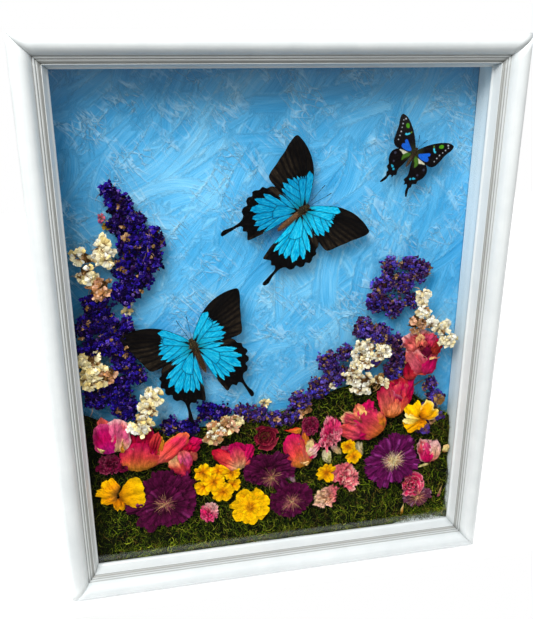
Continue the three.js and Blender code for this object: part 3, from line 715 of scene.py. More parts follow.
# Each spot of the small butterfly: its colour and either an outline, or places and a half width
SMALL_SPOTS = {
    "forewing": [
        ((74, 150, 22), [(18.6, 18.6), (20.2, 20.9), (22.4, 21), (23, 18.9), (21.2, 17.2), (19.2, 17.2)]),
        ((96, 132, 30), [(13.2, 16), (14.2, 16.6), (14.9, 14.8), (14.1, 14.4)]),
        ((64, 198, 228), [(14.3, 13.9), (15.6, 14.6), (16.9, 12.9), (18.7, 12.5), (18.8, 10.9), (17.1, 10.9),
                          (15.3, 12.4)]),
        ((24, 98, 214), [(4.5, 2), (9.1, 5.2), (13.2, 7.9), (15, 7.8), (15.4, 6), (13.9, 4.4), (16.2, 2.6),
                         (15.9, 0.2), (12.7, -0.9), (7, -0.6)]),
        ((196, 204, 214), [(26.2, 23.4, 0.75), (27.7, 21.4, 0.5), (26.4, 18.2, 0.6), (25.2, 14.9, 0.5),
                           (23.8, 11.3, 0.62), (22.9, 7.6, 0.55), (22.2, 3.8, 0.5)])],
    "hindwing": [
        ((214, 214, 188), [(6.6, -1), (14, -1.9), (15.4, -3.6), (12.4, -4.2), (9.6, -5.4), (7.2, -3.4)]),
        ((70, 112, 34), [(2.6, -1.2), (6.2, -1.8), (9.4, -6), (8, -10.8), (5.6, -7), (3.6, -4.6)]),
        ((42, 168, 204), [(12.8, -20.2, 1.15), (10.4, -21.9, 1.05), (14.2, -19.6, 0.7)]),
        ((58, 60, 78), [(17.6, -8, 1.2), (14.6, -15.4, 1)])],
}
LARGE_KIND = {
    "wings": {"hindwing": LARGE_HINDWING, "forewing": LARGE_FOREWING}, "net": 0.62,
    "body": [(-30, 0.5), (-29, 1.3), (-26, 2), (-21, 2.6), (-14, 2.8), (-8, 2.6), (-5.5, 2.4), (-3, 3.4),
             (0, 4), (3, 3.7), (5, 2.5), (6, 2.4), (7.4, 2.2), (8.4, 1)],
    "antenna": [(0.9, 7.6), (2, 14), (3.3, 21), (4.6, 28), (5.1, 32)], "waist": -6, "hairs": 1100,
}
SMALL_KIND = {
    "wings": {"hindwing": SMALL_HINDWING, "forewing": SMALL_FOREWING}, "net": 0.42,
    "body": [(-14, 0.3), (-13, 0.8), (-10, 1.4), (-5, 1.6), (-3, 1.5), (-1, 2.1), (1, 2.3), (3, 2), (4, 1.5),
             (5, 1.5), (6, 1.2), (6.6, 0.5)],
    "antenna": [(0.6, 6.2), (1.8, 10), (3.4, 14), (4.9, 17.5)], "waist": -3, "hairs": 420,
}
BUTTERFLIES = {
    # tones are a painted highlight: how bright the blue is drawn on the left (-1) and right (1) wings, for
    # the sheen that falls more on one side
    "butterfly_upper": dict(kind=LARGE_KIND, x=24, z=117, heading=52, scale=1, tones={-1: 0.35, 1: 1.0},
                            body=(104, 74, 50)),
    "butterfly_lower": dict(kind=LARGE_KIND, x=-85.5, z=-15.5, heading=-20.5, scale=1.03,
                            tones={-1: 0.8, 1: 0.9},
                            body=(58, 42, 26)),
    "butterfly_small": dict(kind=SMALL_KIND, x=134.5, z=167.5, heading=30, scale=1, body=(66, 54, 40)),
}
WING_RISE = math.radians(3)
FOREWING_LIFT = 0.55
BODY_SIDES = 18


def wing_points(flat, side, lift):
    """Points of a wing: out from the body they rise towards the glass."""
    x, y = flat.T
    return np.column_stack([side * (x * math.cos(WING_RISE)), y, lift + x * math.sin(WING_RISE)])


def settled(points, insect):
    """From the insect's own frame, whose third axis points to the glass, to its place in the box."""
    x, y, towards = (insect["scale"] * points).T
    turn = math.radians(insect["heading"])
    return np.column_stack([insect["x"] + x * math.cos(turn) + y * math.sin(turn), BUTTERFLY_DEPTH - towards,
                            insect["z"] - x * math.sin(turn) + y * math.cos(turn)])


def large_wing_layers(flat, wing, tone):
    veins = np.min([distance_to_line(flat, rounded(vein, 2, closed=False)) for vein in LARGE_VEINS[wing]],
                   axis=0)
    field = depth_inside(flat, LARGE_BLUE[wing]) + 1.7 * np.minimum(veins, 3.2) - 1.8
    x, y = flat.T
    if wing == "forewing":
        warm = 0.75 * smooth_step(24, 44, x) * smooth_step(33, 12, y) + 0.15
    else:
        warm = np.maximum(smooth_step(4.5, 1.5, np.abs(y + 3 + 0.16 * x)),
                          0.6 * smooth_step(-14, -4, y) * (x > 18))
        warm = np.maximum(warm, 0.75 * smooth_step(3.5, 1, np.abs(x - 5 - 0.16 * (-y - 20))) * (y < -8))
    return dict(field=field, vein=veins, warm=warm, tone=np.full(len(flat), tone))


def small_wing_tint(flat, wing, random):
    tint = np.tile(srgb(13, 9, 10), (len(flat), 1)) * random.uniform(0.6, 1.7, (len(flat), 1))
    x, y = flat.T
    base = (0.8 * smooth_step(13, 3, np.hypot(x, y)))[:, None]
    tint = toward(tint, srgb(46, 52, 30), base)
    for colour, shape in SMALL_SPOTS[wing]:
        if len(shape[0]) == 3:
            inner = np.max([half - np.hypot(x - sx, y - sy) for sx, sy, half in shape], axis=0)
        else:
            inner = depth_inside(flat, rounded(shape, 0.8))
        share = smooth_step(-0.22, 0.22, inner)[:, None]
        tint = toward(tint, srgb(*colour) * random.uniform(0.75, 1.15, (len(flat), 1)), share)
    return tint


def add_wings(name, insect, materials):
    random = np.random.default_rng(len(name))
    kind = insect["kind"]
    pile = Pile()
    for wing, lift in (("hindwing", 0.0), ("forewing", FOREWING_LIFT)):
        outline = rounded(kind["wings"][wing], kind["net"])
        flat, triangles = filled(outline, kind["net"])
        edge = distance_to_line(flat, outline, closed=True)
        angle = np.arctan2(flat[:, 1], flat[:, 0])
        reach = np.hypot(*flat.T)
        wave = 0.18 * np.sin(9 * angle + 0.05 * reach) * smooth_step(6, 25, reach) * smooth_step(0, 4, edge)
        streak = np.column_stack([angle * 34, reach * 0.16, np.full(len(flat), 5.0 * (wing == "forewing"))])
        for side in (-1, 1):
            points = wing_points(flat, side, lift)
            points[:, 2] += wave + 0.12 * np.sin(0.31 * points[:, 0] + 0.23 * points[:, 1])
            turned = triangles if side == 1 else triangles[:, ::-1]
            if kind is LARGE_KIND:
                layers = large_wing_layers(flat, wing, insect["tones"][side])
            else:
                layers = dict(tint=small_wing_tint(flat, wing, random))
            pile.add(settled(points, insect), turned, streak=streak + [0, 0, 11 * side], rim=edge, **layers)
    material = materials["large" if kind is LARGE_KIND else "small"]
    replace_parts(pile.finish(name + "_wings", material, "butterfly"), name)


def tube(line, radii, sides=6):
    """Points and triangles of a closed tube along a line of points in space."""
    line = np.asarray(line, dtype=float)
    ahead = unit(np.gradient(line, axis=0))
    helper = np.where(np.abs(ahead[:, :1]) > 0.8, [[0.0, 0, 1]], [[1.0, 0, 0]])
    first = unit(np.cross(ahead, helper))
    radii = np.broadcast_to(radii, len(line))[:, None, None]
    points = (line[:, None] + radii * circle(sides, first, np.cross(ahead, first))).reshape(-1, 3)
    ends = len(points)
    triangles = [grid_triangles(len(line), sides, closed=True), fan(sides, 0, ends),
                 fan(sides, ends - sides, ends + 1, opened=True)]
    return np.concatenate([points, line[:1], line[-1:]]), np.concatenate(triangles)


def ribbons(roots, directions, lengths, widths, curl, random, steps=3):
    """Many fine tapering hairs, each a bent ribbon: points, triangles and the hair of each point."""
    count = len(roots)
    directions = unit(directions)
    side = unit(np.cross(directions, random.normal(size=(count, 3))))
    sway = np.cross(directions, side)
    t = np.linspace(0, 1, steps + 1)
    along = t[None, :, None] * lengths[:, None, None] * directions[:, None]
    bend = (curl * lengths)[:, None, None] * (t ** 2)[None, :, None] * sway[:, None]
    twist = (0.35 * curl * lengths)[:, None, None] * np.sin(math.pi * t)[None, :, None] * side[:, None]
    middle = roots[:, None] + along + bend + twist
    taper = np.append(np.linspace(1, 0.55, steps), 0.12)[None, :, None]
    half = (0.5 * widths)[:, None, None] * taper * side[:, None]
    points = np.stack([middle - half, middle + half], axis=2).reshape(-1, 3)
    stride = 2 * (steps + 1)
    return points, copies(grid_triangles(steps + 1, 2), count, stride), np.repeat(np.arange(count), stride)


def add_threads(pile, roots, ways, lengths, widths, curl, tones, random):
    """Hairs whose tones are picked at random."""
    points, triangles, owner = ribbons(roots, ways, lengths, widths, curl, random)
    pile.add(points, triangles, tint=pick_tones(tones, len(roots), random)[owner], grain=points)


def add_insect_body(name, insect, material):
    random = np.random.default_rng(3 + len(name))
    kind = insect["kind"]
    profile = rounded(kind["body"], 0.6, closed=False)
    along, radius = profile[:, :1], profile[:, 1:]
    radius = radius * (1 + 0.05 * np.sin(2.6 * along) * (along < kind["waist"]))
    body = circle(BODY_SIDES, radius * [1, 0, 0], radius * [0, 0, 0.85]) + along[:, None] * [0, 1, 0]
    body = body.reshape(-1, 3)
    rear, chest = srgb(*insect["body"]), srgb(44, 38, 26)
    share = smooth_step(kind["waist"] - 2, kind["waist"] + 3, body[:, 1])[:, None]
    mottled = random.uniform(0.65, 1.25, (len(body), 1))
    pile = Pile()
    pile.add(settled(body, insect), grid_triangles(len(profile), BODY_SIDES, closed=True)[:, ::-1],
             tint=toward(rear, chest, share) * mottled)

    count = kind["hairs"]
    picked = random.integers(0, len(body), count)
    roots = body[picked]
    reach = np.where(roots[:, 1] > kind["waist"], 1.0, 0.55) * insect["scale"] * kind["body"][8][1] * 0.55
    outward = roots * [1, 0, 1] + [0, -0.9, 0.2] + random.normal(0, 0.5, (count, 3))
    hairs, triangles, owner = ribbons(roots, outward, reach * random.uniform(0.5, 1.3, count),
                                      np.full(count, 0.16), 0.4, random)
    shade = random.uniform(0.5, 1.6, (count, 1))
    green = (random.random((count, 1)) < 0.3) * (roots[:, 1:2] > kind["waist"])
    colour = toward(srgb(112, 78, 48), srgb(96, 108, 56), green) * shade
    pile.add(settled(hairs, insect), triangles, tint=colour[owner])

    for side in (-1, 1):
        line = rounded(kind["antenna"], 1.2, closed=False)
        line = np.column_stack([side * line[:, 0], line[:, 1], 0.5 + 0.02 * line[:, 1]])
        club = np.where(np.arange(len(line)) > len(line) - 5, 0.36, 0.17)
        club = club * math.sqrt(kind["body"][7][1] / 3.4)
        points, triangles = tube(line, club, 5)
        pile.add(settled(points, insect), triangles, tint=srgb(18, 16, 24))
    pin = [(0, 0, (BUTTERFLY_DEPTH - PANEL_FRONT + 0.2) / insect["scale"]), (0, 0, -3), (0, 0, 0)]
    points, triangles = tube(pin, 0.35, 8)
    pile.add(settled(points, insect), triangles, tint=srgb(40, 40, 46))
    pile.finish(name + "_body", material, "butterfly")


def large_wing_material():
    wing = Finish("swallowtail_wing", Specular_IOR_Level=0.03)
    streak_place = wing.layer("streak", "Vector")
    streak = wing.noise(1.3, streak_place, detail=4, roughness=0.6)
    broad = wing.noise(0.35, streak_place, detail=2)
    ragged = wing.math("MULTIPLY", wing.math("SUBTRACT", streak, 0.5), 4.0)
    field = wing.math("ADD", wing.layer("field"), ragged)
    is_blue = wing.spread(field, -0.12, 0.22, 0.0, 1.0)
    dim = wing.ramp(streak, [(0.3, srgb(0, 70, 124)), (0.5, srgb(4, 134, 188)), (0.75, srgb(40, 176, 214))])
    bright = wing.ramp(streak, [(0.3, srgb(0, 122, 184)), (0.5, srgb(0, 190, 232)),
                                (0.72, srgb(84, 228, 248))])
    # painted highlight: each side's blue set between dim and bright by its tone, as its sheen in the light
    blue = wing.mix(wing.layer("tone"), dim, bright)
    blue = wing.mix(wing.ramp(broad, [(0.35, 0.35), (0.6, 0.0)]), blue, srgb(0, 110, 168))
    beside = wing.spread(wing.layer("vein"), 0.2, 1.1, 0.45, 0.0)
    blue = wing.mix(beside, blue, srgb(0, 66, 116))
    reach = wing.node("SeparateXYZ", {0: streak_place}).outputs["Y"]
    blue = wing.mix(wing.spread(reach, 0.8, 2.4, 0.6, 0.0), blue, srgb(0, 96, 84))
    dark = wing.ramp(streak, [(0.3, srgb(2, 2, 3)), (0.7, srgb(14, 11, 10))])
    brown = wing.ramp(streak, [(0.25, srgb(16, 13, 10)), (0.55, srgb(46, 38, 29)), (0.85, srgb(84, 70, 52))])
    stripes = wing.math("MULTIPLY", wing.layer("warm"), wing.spread(wing.layer("vein"), 0.4, 2.0, 0.1, 1.0))
    margin = wing.mix(wing.math("MULTIPLY", stripes, wing.ramp(broad, [(0.35, 0.4), (0.6, 1.0)])), dark,
                      brown)
    colour = wing.mix(is_blue, margin, blue)
    vein = wing.spread(wing.layer("vein"), 0.14, 0.34, 0.85, 0.0)
    veined = wing.mix(vein, colour, srgb(6, 10, 16))
    rim = wing.spread(wing.layer("rim"), 0.1, 0.5, 1.0, 0.0)
    edged = wing.mix(rim, veined, srgb(6, 5, 6))
    ribs = wing.math("MULTIPLY", wing.math("MINIMUM", wing.layer("vein"), 0.8), -1.0)
    normal = wing.bump(streak, 0.06, 0.6, below=wing.bump(ribs, 0.12, 0.7))
    return wing.finish(Base_Color=edged, Roughness=wing.ramp(streak, [(0.2, 0.42), (0.8, 0.62)]),
                       Normal=normal)


def tinted(name, roughness, grain_scale, grain_depth, **settings):
    """A finish whose colour comes from the tint of each point, varied by fine grain."""
    made = Finish(name, **settings)
    grain = made.noise(grain_scale, made.place(), detail=4, roughness=0.65)
    shade = made.ramp(grain, [(0.25, 0.66), (0.75, 1.22)])
    colour = made.mix(1.0, made.layer("tint", "Color"), shade, blend="MULTIPLY")
    rough = made.ramp(grain, [(0.2, roughness - 0.08), (0.8, roughness + 0.1)])
    return made.finish(Base_Color=colour, Roughness=rough, Normal=made.bump(grain, grain_depth, 0.7))


def petal_finish(name, contrast):
    """The tint of each point, with fine veins along the petal and softer blotches."""
    petal = Finish(name, Specular_IOR_Level=0.03)
    vein = petal.noise(1.0, petal.scaled(petal.layer("grain", "Vector"), (1.1, 0.13, 1)), detail=4,
                       roughness=0.65)
    blotch = petal.noise(0.22, petal.place(), detail=4, roughness=0.65)
    shade = petal.ramp(vein, [(0.3, 1 - contrast), (0.52, 1.0), (0.75, 1 + 0.6 * contrast)])
    colour = petal.mix(1.0, petal.layer("tint", "Color"), shade, blend="MULTIPLY")
    patches = petal.ramp(blotch, [(0.32, 1 - 0.8 * contrast), (0.58, 1.08)])
    colour = petal.mix(1.0, colour, patches, blend="MULTIPLY")
    crumple = petal.noise(0.6, petal.place(), detail=3, roughness=0.6)
    normal = petal.bump(vein, 0.35, 0.8, below=petal.bump(crumple, 0.9, 0.8))
    return petal.finish(Base_Color=colour, Roughness=petal.ramp(vein, [(0.2, 0.55), (0.8, 0.8)]),
                        Normal=normal)


# Petals. Each is a net of points along it, from 0 at its base to 1 at its tip, and across it, from -1 to 1.

PETAL_FORMS = {
    "rose": dict(foot=0.5, belly=0.5, corner=0.28, notch=-0.07, ruffle=0.04),
    "pointed": dict(foot=0.45, belly=0.5, corner=0.34, notch=-0.08, ruffle=0.04),
    "sepal": dict(foot=0.6, belly=0.3, corner=0.75, notch=-0.3, ruffle=0.02),
    "heart": dict(foot=0.28, belly=0.6, corner=0.2, notch=0.16, ruffle=0.06, teeth=0.03),
    "fan": dict(foot=0.5, belly=0.45, corner=0.3, notch=0.03, ruffle=0.05, teeth=0.06),
    "egg": dict(foot=0.62, belly=0.4, corner=0.42, notch=-0.04, ruffle=0.02),
    "lobed": dict(foot=0.14, belly=0.8, corner=0.2, notch=0.02, ruffle=0.04, teeth=0.035),
    "wedge": dict(foot=0.16, belly=0.9, corner=0.1, notch=0.05, ruffle=0.05, teeth=0.08),
    "fringed": dict(foot=0.16, belly=0.8, corner=0.16, notch=0.0, ruffle=0.12, teeth=0.13),
    "ragged": dict(foot=0.25, belly=0.75, corner=0.05, notch=0.04, ruffle=0.05, teeth=0.08),
}


def wobble(points, amount, spacing, random):
    """Soft crumpling: each point moved by a few crossing waves of about the given spacing."""
    moved = np.array(points, dtype=float)
    for strength in (1.0, 0.6, 0.35):
        wave = random.normal(size=(3, 3)) * (2 * math.pi / spacing / strength) / 1.7
        phase = random.uniform(0, 2 * math.pi, 3)
        moved += amount * strength * np.sin(points @ wave.T + phase)
    return moved


def crumpled(points, amount, broad, fine, random):
    """Broad crumpling with finer and weaker crumpling on it."""
    return wobble(wobble(points, amount, broad, random), 0.4 * amount, fine, random)


def blended(share, *colours):
    """Colours run through in order as the share goes from 0 to 1."""
    stops = np.linspace(0, 1, len(colours))
    return np.column_stack([np.interp(share, stops, [colour[i] for colour in colours]) for i in range(3)])


class Petal:
    """A petal along its first axis, with its second across it and its third out of its inner face."""

    def __init__(self, form, length, half_width, colours, random, rows=12, columns=15, creased=0):
        look = PETAL_FORMS[form]
        along, across = np.meshgrid(np.linspace(0, 1, rows), np.linspace(-1, 1, columns), indexing="ij")
        self.along, self.across = along.ravel(), across.ravel()
        self.triangles = grid_triangles(rows, columns)
        shift = random.uniform(0, 2 * math.pi, 4)
        tip = 1 - look["corner"] * np.abs(self.across) ** 3
        tip -= look["notch"] * np.exp(-(self.across / 0.25) ** 2)
        tip -= look.get("teeth", 0) * np.abs(np.sin(8 * self.across + shift[0]))
        widening = np.sin(0.5 * math.pi * np.minimum(self.along / look["belly"], 1))
        spread = look["foot"] + (1 - look["foot"]) * widening
        self.out = length * self.along * tip
        self.side = half_width * self.across * spread
        waves = np.sin(random.uniform(3, 6) * self.across + shift[1])
        waves += 0.4 * np.sin(12 * self.across + shift[2])
        self.lift = look["ruffle"] * length * self.along ** 2 * waves
        creases = np.zeros(len(self.out))
        for middle in random.uniform(-0.8, 0.8, creased):
            drift = middle * (0.4 + 0.6 * self.along) + 0.08 * np.sin(5 * self.along + 9 * middle)
            creases += random.uniform(0.5, 1) * np.exp(-((self.across - drift) / 0.09) ** 2)
        self.lift -= 0.05 * length * creases * smooth_step(0.05, 0.5, self.along)
        self.grain = np.column_stack([self.side, self.out, np.full(len(self.out), 50 * random.random())])
        # painted shade: bands across the petal drawn lighter and darker as folds, darker in the creases and
        # towards the base
        fold_and_base_shade = 1 + 0.16 * np.sin(7 * self.across + shift[3]) * smooth_step(0, 0.4, self.along)
        tones = blended(self.along, *(srgb(*colour) for colour in colours))
        fold_and_base_shade = fold_and_base_shade * (1 - 0.26 * np.minimum(creases, 1)) * (0.6 + 0.4 * smooth_step(0, 0.25, self.along))
        self.tint = tones * (fold_and_base_shade * random.uniform(0.85, 1.15))[:, None]

    def blend(self, colour, share):
        self.tint = toward(self.tint, srgb(*colour), np.clip(share, 0, 1)[:, None])


def lay(pile, petal, base, tip, level, random, cup=0.25, arch=0.12, rise=0.0, crumple=0.35):
    """Lays a petal in the picture's plane from its base to its tip, both x and z, at a depth. Cup bends its
    sides towards the panel, arch both its ends, and rise brings its tip forward."""
    ahead = unit(np.subtract(tip, base))
    spot = np.array(base) + petal.out[:, None] * ahead + petal.side[:, None] * [ahead[1], -ahead[0]]
    length, width = np.ptp(petal.out), np.ptp(petal.side)
    depth = (level + 0.5 * cup * width * petal.across ** 2 + arch * length * (1.6 * petal.along - 0.7) ** 2
             - rise * petal.along - petal.lift)
    points = np.column_stack([spot[:, 0], depth, spot[:, 1]])
    pile.add(crumpled(points, crumple, 7, 2.6, random), petal.triangles, tint=petal.tint, grain=petal.grain)


def cupped_flower(spec, random):
    """A rose or bud about its third axis: petals wrapped round it, the inner ones tighter."""
    pile = Pile()
    for i in range(spec["count"]):
        outer = (i + 1) / spec["count"]
        petal = Petal("rose", 1, 1, spec["colours"], random, 13, 19, 2)
        along, across = petal.along, petal.across
        span = random.uniform(0.8, 1.15) * (1.5 - 0.4 * outer)
        wrap = 0.45 + 0.55 * np.sin(math.pi * np.minimum(along + 0.15, 0.75) / 1.5)
        turn = 2.4 * i + span * across * wrap
        lip = smooth_step(0.6, 1.0, along)
        flare = spec["open"] * outer * random.uniform(0.5, 1.2) - 0.28 * (1 - spec["open"])
        bowl = np.sin(0.5 * math.pi * np.clip(along / 0.55, 0, 1)) ** 0.7
        reach = (0.12 + 0.88 * outer ** 0.8) * bowl * (1 + flare * lip)
        frill = 0.07 * np.sin(random.uniform(3, 7) * across + random.uniform(0, 6))
        reach += lip * (frill + 0.1 * np.abs(across) ** 3)
        tall = spec["tall"] * (0.9 + 0.1 * random.random() - 0.22 * spec["open"] * outer)
        up = tall * along * (1 - 0.25 * across ** 2 * along + 0.1 * np.exp(-(across / 0.2) ** 2) * lip)
        petal.blend(spec["rim_colour"], spec["rim"] * smooth_step(0.85, 1.0, np.maximum(along, across ** 2)))
        points = np.column_stack([reach * np.cos(turn), reach * np.sin(turn), up])
        pile.add(crumpled(points, spec["crumple"], 0.6, 0.2, random), petal.triangles, tint=petal.tint,
                 grain=petal.grain)
    return pile


def ruffled_flower(spec, random):
    """A carnation about its third axis: many fringed petals fanned over a half ball."""
    pile = Pile()
    for i in range(spec["count"]):
        petal = Petal("fringed", random.uniform(0.85, 1.1), random.uniform(0.28, 0.42), spec["colours"],
                      random, 9, 15)
        lean = 1.45 * math.sqrt((i + 0.5) / spec["count"])
        spin = random.uniform(-0.6, 0.6)
        side = petal.side * math.cos(spin) - petal.lift * math.sin(spin)
        lift = petal.side * math.sin(spin) + petal.lift * math.cos(spin)
        radial = petal.out * math.sin(lean) - lift * math.cos(lean)
        axis = petal.out * math.cos(lean) + lift * math.sin(lean)
        turn = 2.4 * i
        points = np.column_stack([radial * math.cos(turn) - side * math.sin(turn),
                                  radial * math.sin(turn) + side * math.cos(turn), axis])
        petal.blend(spec["rim_colour"], spec["rim"] * smooth_step(0.8, 1.0, petal.along)
                    * (random.random() < 0.6))
        pile.add(crumpled(points, 0.05, 0.45, 0.15, random), petal.triangles, tint=petal.tint,
                 grain=petal.grain)
    return pile


def turned(points, tilt, heading):
    """From a flower's own frame to x, depth and z: its third axis is tilted back from the viewer towards the
    top of the picture, then turned clockwise by the heading."""
    tilt, heading = math.radians(tilt), math.radians(heading)
    x, y, axis = points.T
    up = axis * math.sin(tilt) + y * math.cos(tilt)
    towards = axis * math.cos(tilt) - y * math.sin(tilt)
    return np.column_stack([x * math.cos(heading) + up * math.sin(heading), -towards,
                            -x * math.sin(heading) + up * math.cos(heading)])


def add_body(pile, spec, low, high, random):
    """Fits a rose or carnation, made about its own middle, to the room of its solid, or a part of it."""
    head = spec["make"](spec, random)
    size = spec.get("size", 1.0)
    middle, half = (low + high) / 2, (high - low) / 2 * [size, 0.9 * size, size]
    points = turned(np.concatenate(head.points), spec["tilt"], spec["heading"])
    least, most = points.min(0), points.max(0)
    points = middle + [0, (1 - size) * 6, 0] + (points - (least + most) / 2) / ((most - least) / 2) * half
    tint = np.concatenate(head.layers["tint"])
    for colour, way, share in spec.get("washes", []):
        way = math.radians(way)
        side = ((points - middle) / half) @ [math.sin(way), 0, math.cos(way)]
        tint = toward(tint, srgb(*colour), (share * smooth_step(-0.15, 0.75, side))[:, None])
    pile.add(points, np.concatenate(head.triangles), tint=tint,
             grain=np.concatenate(head.layers["grain"]) * [half[0], half[2], 1])


GRAIN_CORNERS = np.array([(1, 0, 0), (0, 1, 0), (-1, 0, 0), (0, -1, 0), (0, 0, 1), (0, 0, -1)])
GRAIN_FACES = np.array([(0, 1, 4), (1, 2, 4), (2, 3, 4), (3, 0, 4), (1, 0, 5), (2, 1, 5), (3, 2, 5),
                        (0, 3, 5)])


def add_heart(pile, middle, spec, random):
    """A flower's middle: stamens that lean outward from a low mound, with grains on and among them."""
    reach, count, colours = spec
    turn, lean = random.uniform(0, 2 * math.pi, count), random.random(count)
    ways = np.column_stack([np.cos(turn) * lean, -0.4 + 0.25 * lean, np.sin(turn) * lean])
    add_threads(pile, middle + ways * reach * 0.25, ways, reach * random.uniform(0.5, 1.0, count),
                np.full(count, 0.075 * reach), 0.3, colours, random)
    ends = middle + ways * reach * random.uniform(0.5, 1.05, (count, 1))
    grain = GRAIN_CORNERS * 0.075 * reach
    mound = middle + grain * [5, 2.6, 5]
    pile.add(mound, GRAIN_FACES, tint=0.6 * srgb(*colours[0]), grain=mound)
    grains = (ends[:, None] + grain[None] * random.uniform(0.6, 1.5, (count, 1, 1))).reshape(-1, 3)
    pile.add(grains, copies(GRAIN_FACES, count, 6),
             tint=np.repeat(pick_tones(colours, count, random), 6, axis=0),
             grain=grains)


def add_burst(pile, middle, spec, random):
    """Pale threads that lie outward over the petals round a flower's middle."""
    if spec:
        reach, count, colours = spec
        turn = random.uniform(0, 2 * math.pi, count)
        ways = np.column_stack([np.cos(turn), random.uniform(-0.3, 0, count), np.sin(turn)])
        add_threads(pile, middle + ways * reach * random.uniform(0.1, 0.4, (count, 1)), ways,
                    reach * random.uniform(0.2, 0.75, count), random.uniform(0.25, 0.55, count), 0.12,
                    colours, random)


def add_ring(pile, spec, low, high, ring, random):
    """A ring of petals about a middle, given as shares of the flower's room. The others are the count of
    petals, their length as a share, the first one's way in turns, and how far the ring lies in front of the
    hindmost one."""
    x, z, count, length, first, front = ring
    half = (high - low)[[0, 2]] / 2
    middle = (low + high)[[0, 2]] / 2 + half * [x, z]
    for i in range(count):
        way = 2 * math.pi * (first + (i + random.uniform(-0.25, 0.25)) / count)
        size = length * random.uniform(1 - spec.get("uneven", 0.06), 1.05)
        tip = middle + half * size * [math.sin(way), math.cos(way)]
        reach = np.linalg.norm(tip - middle)
        petal = Petal(spec["petal"], reach, spec["width"] * reach * random.uniform(0.85, 1.15),
                      spec["colours"], random,
                      9, 15, spec.get("creased", 0))
        if random.random() < spec.get("pale", 0):
            place = random.uniform(-0.5, 0.5)
            petal.blend(spec["pale_colour"], 0.7 * smooth_step(0.25, 0.8, petal.along)
                        * np.exp(-((petal.across - place) / 0.2) ** 2))
        lay(pile, petal, middle, tip, high[1] - 2 - front - 0.5 * (i % 3), random, cup=spec["cup"],
            arch=0.03, rise=spec["rise"] * reach, crumple=0.3)
    return np.array([middle[0], high[1] - 3 - front, middle[1]])


PETAL_SLOTS = {"yellow": "yellow_petal", "zinnia": "plum_petal", "aster": "plum_petal"}


def add_flower(node, spec, material):
    random = np.random.default_rng(sum(map(ord, node)))
    low, high = (in_box(corner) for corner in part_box(node))
    middle = (low + high) / 2
    pile = Pile()
    if "make" in spec:
        add_body(pile, spec, low, high, random)
    for ring in spec.get("rings", []):
        centre = add_ring(pile, spec, low, high, ring, random)
        if "heart" in spec and ring[-1] == spec["heart_front"]:
            add_burst(pile, centre - [0, 1.2, 0], spec.get("burst"), random)
            add_heart(pile, centre - [0, 2, 0], spec["heart"], random)
    for form, base, tip, half_width, level, colours, *changes in spec.get("petals", []):
        changes = dict(*changes)
        petal = Petal(form, math.dist(base, tip), half_width, colours, random, 14, 25,
                      spec.get("creased", 4))
        edge = changes.pop("edge", None)
        if edge:
            petal.blend(edge, 0.8 * smooth_step(0.82, 1.0, np.maximum(petal.along, np.abs(petal.across))))
        lay(pile, petal, np.add(base, middle[[0, 2]]), np.add(tip, middle[[0, 2]]), level, random, **changes)
    slot = PETAL_SLOTS.get(node.split("_")[0], "rose_petal")
    pile.hold()
    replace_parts(pile.finish(node + "_petals", material[slot], slot), node)


MAGENTA, HOT_PINK, CRIMSON, WINE = (190, 2, 84), (214, 14, 92), (178, 4, 44), (80, 0, 24)
CORAL, SALMON, ORANGE, GOLD = (222, 66, 62), (220, 96, 84), (232, 118, 40), (214, 142, 36)
CREAM, PALE_PINK, DUSTY, ROSE_PINK = (246, 200, 136), (244, 188, 186), (206, 78, 122), (196, 36, 90)
OLIVE, ORCHID, STRAW, RED = (146, 92, 30), (200, 26, 136), (224, 208, 136), (190, 14, 30)

PLUM = dict(petal="ragged", width=0.27, cup=0.3, rise=0.1, creased=2,
            colours=[(34, 0, 18), (56, 4, 34), (92, 14, 62)],
            pale=0.12, pale_colour=(136, 44, 104), heart_front=6,
            burst=(14, 220, [(226, 170, 120), (180, 96, 104), (120, 40, 80), (150, 66, 90)]),
            heart=(5, 60, [(240, 190, 120), (200, 100, 110), (120, 30, 60), (250, 214, 150)]), uneven=0.2)
YELLOW = dict(petal="heart", creased=1, width=0.6, cup=0.15, rise=0.15,
              colours=[(206, 100, 0), (250, 176, 0), (255, 200, 0)],
              heart_front=1, heart=(3.4, 36, [(190, 110, 4), (236, 160, 10), (150, 110, 20)]))
ROSE = dict(make=cupped_flower, rim_colour=PALE_PINK, rim=0.2, open=0.4, tall=1.7, count=9, tilt=76,
            heading=0,
            crumple=0.05, size=0.86)
CARNATION = dict(make=ruffled_flower, rim_colour=(250, 176, 186), rim=0.6, count=30, tilt=40, heading=0,
                 petal="ragged", width=0.4, cup=0.3, rise=0.2)
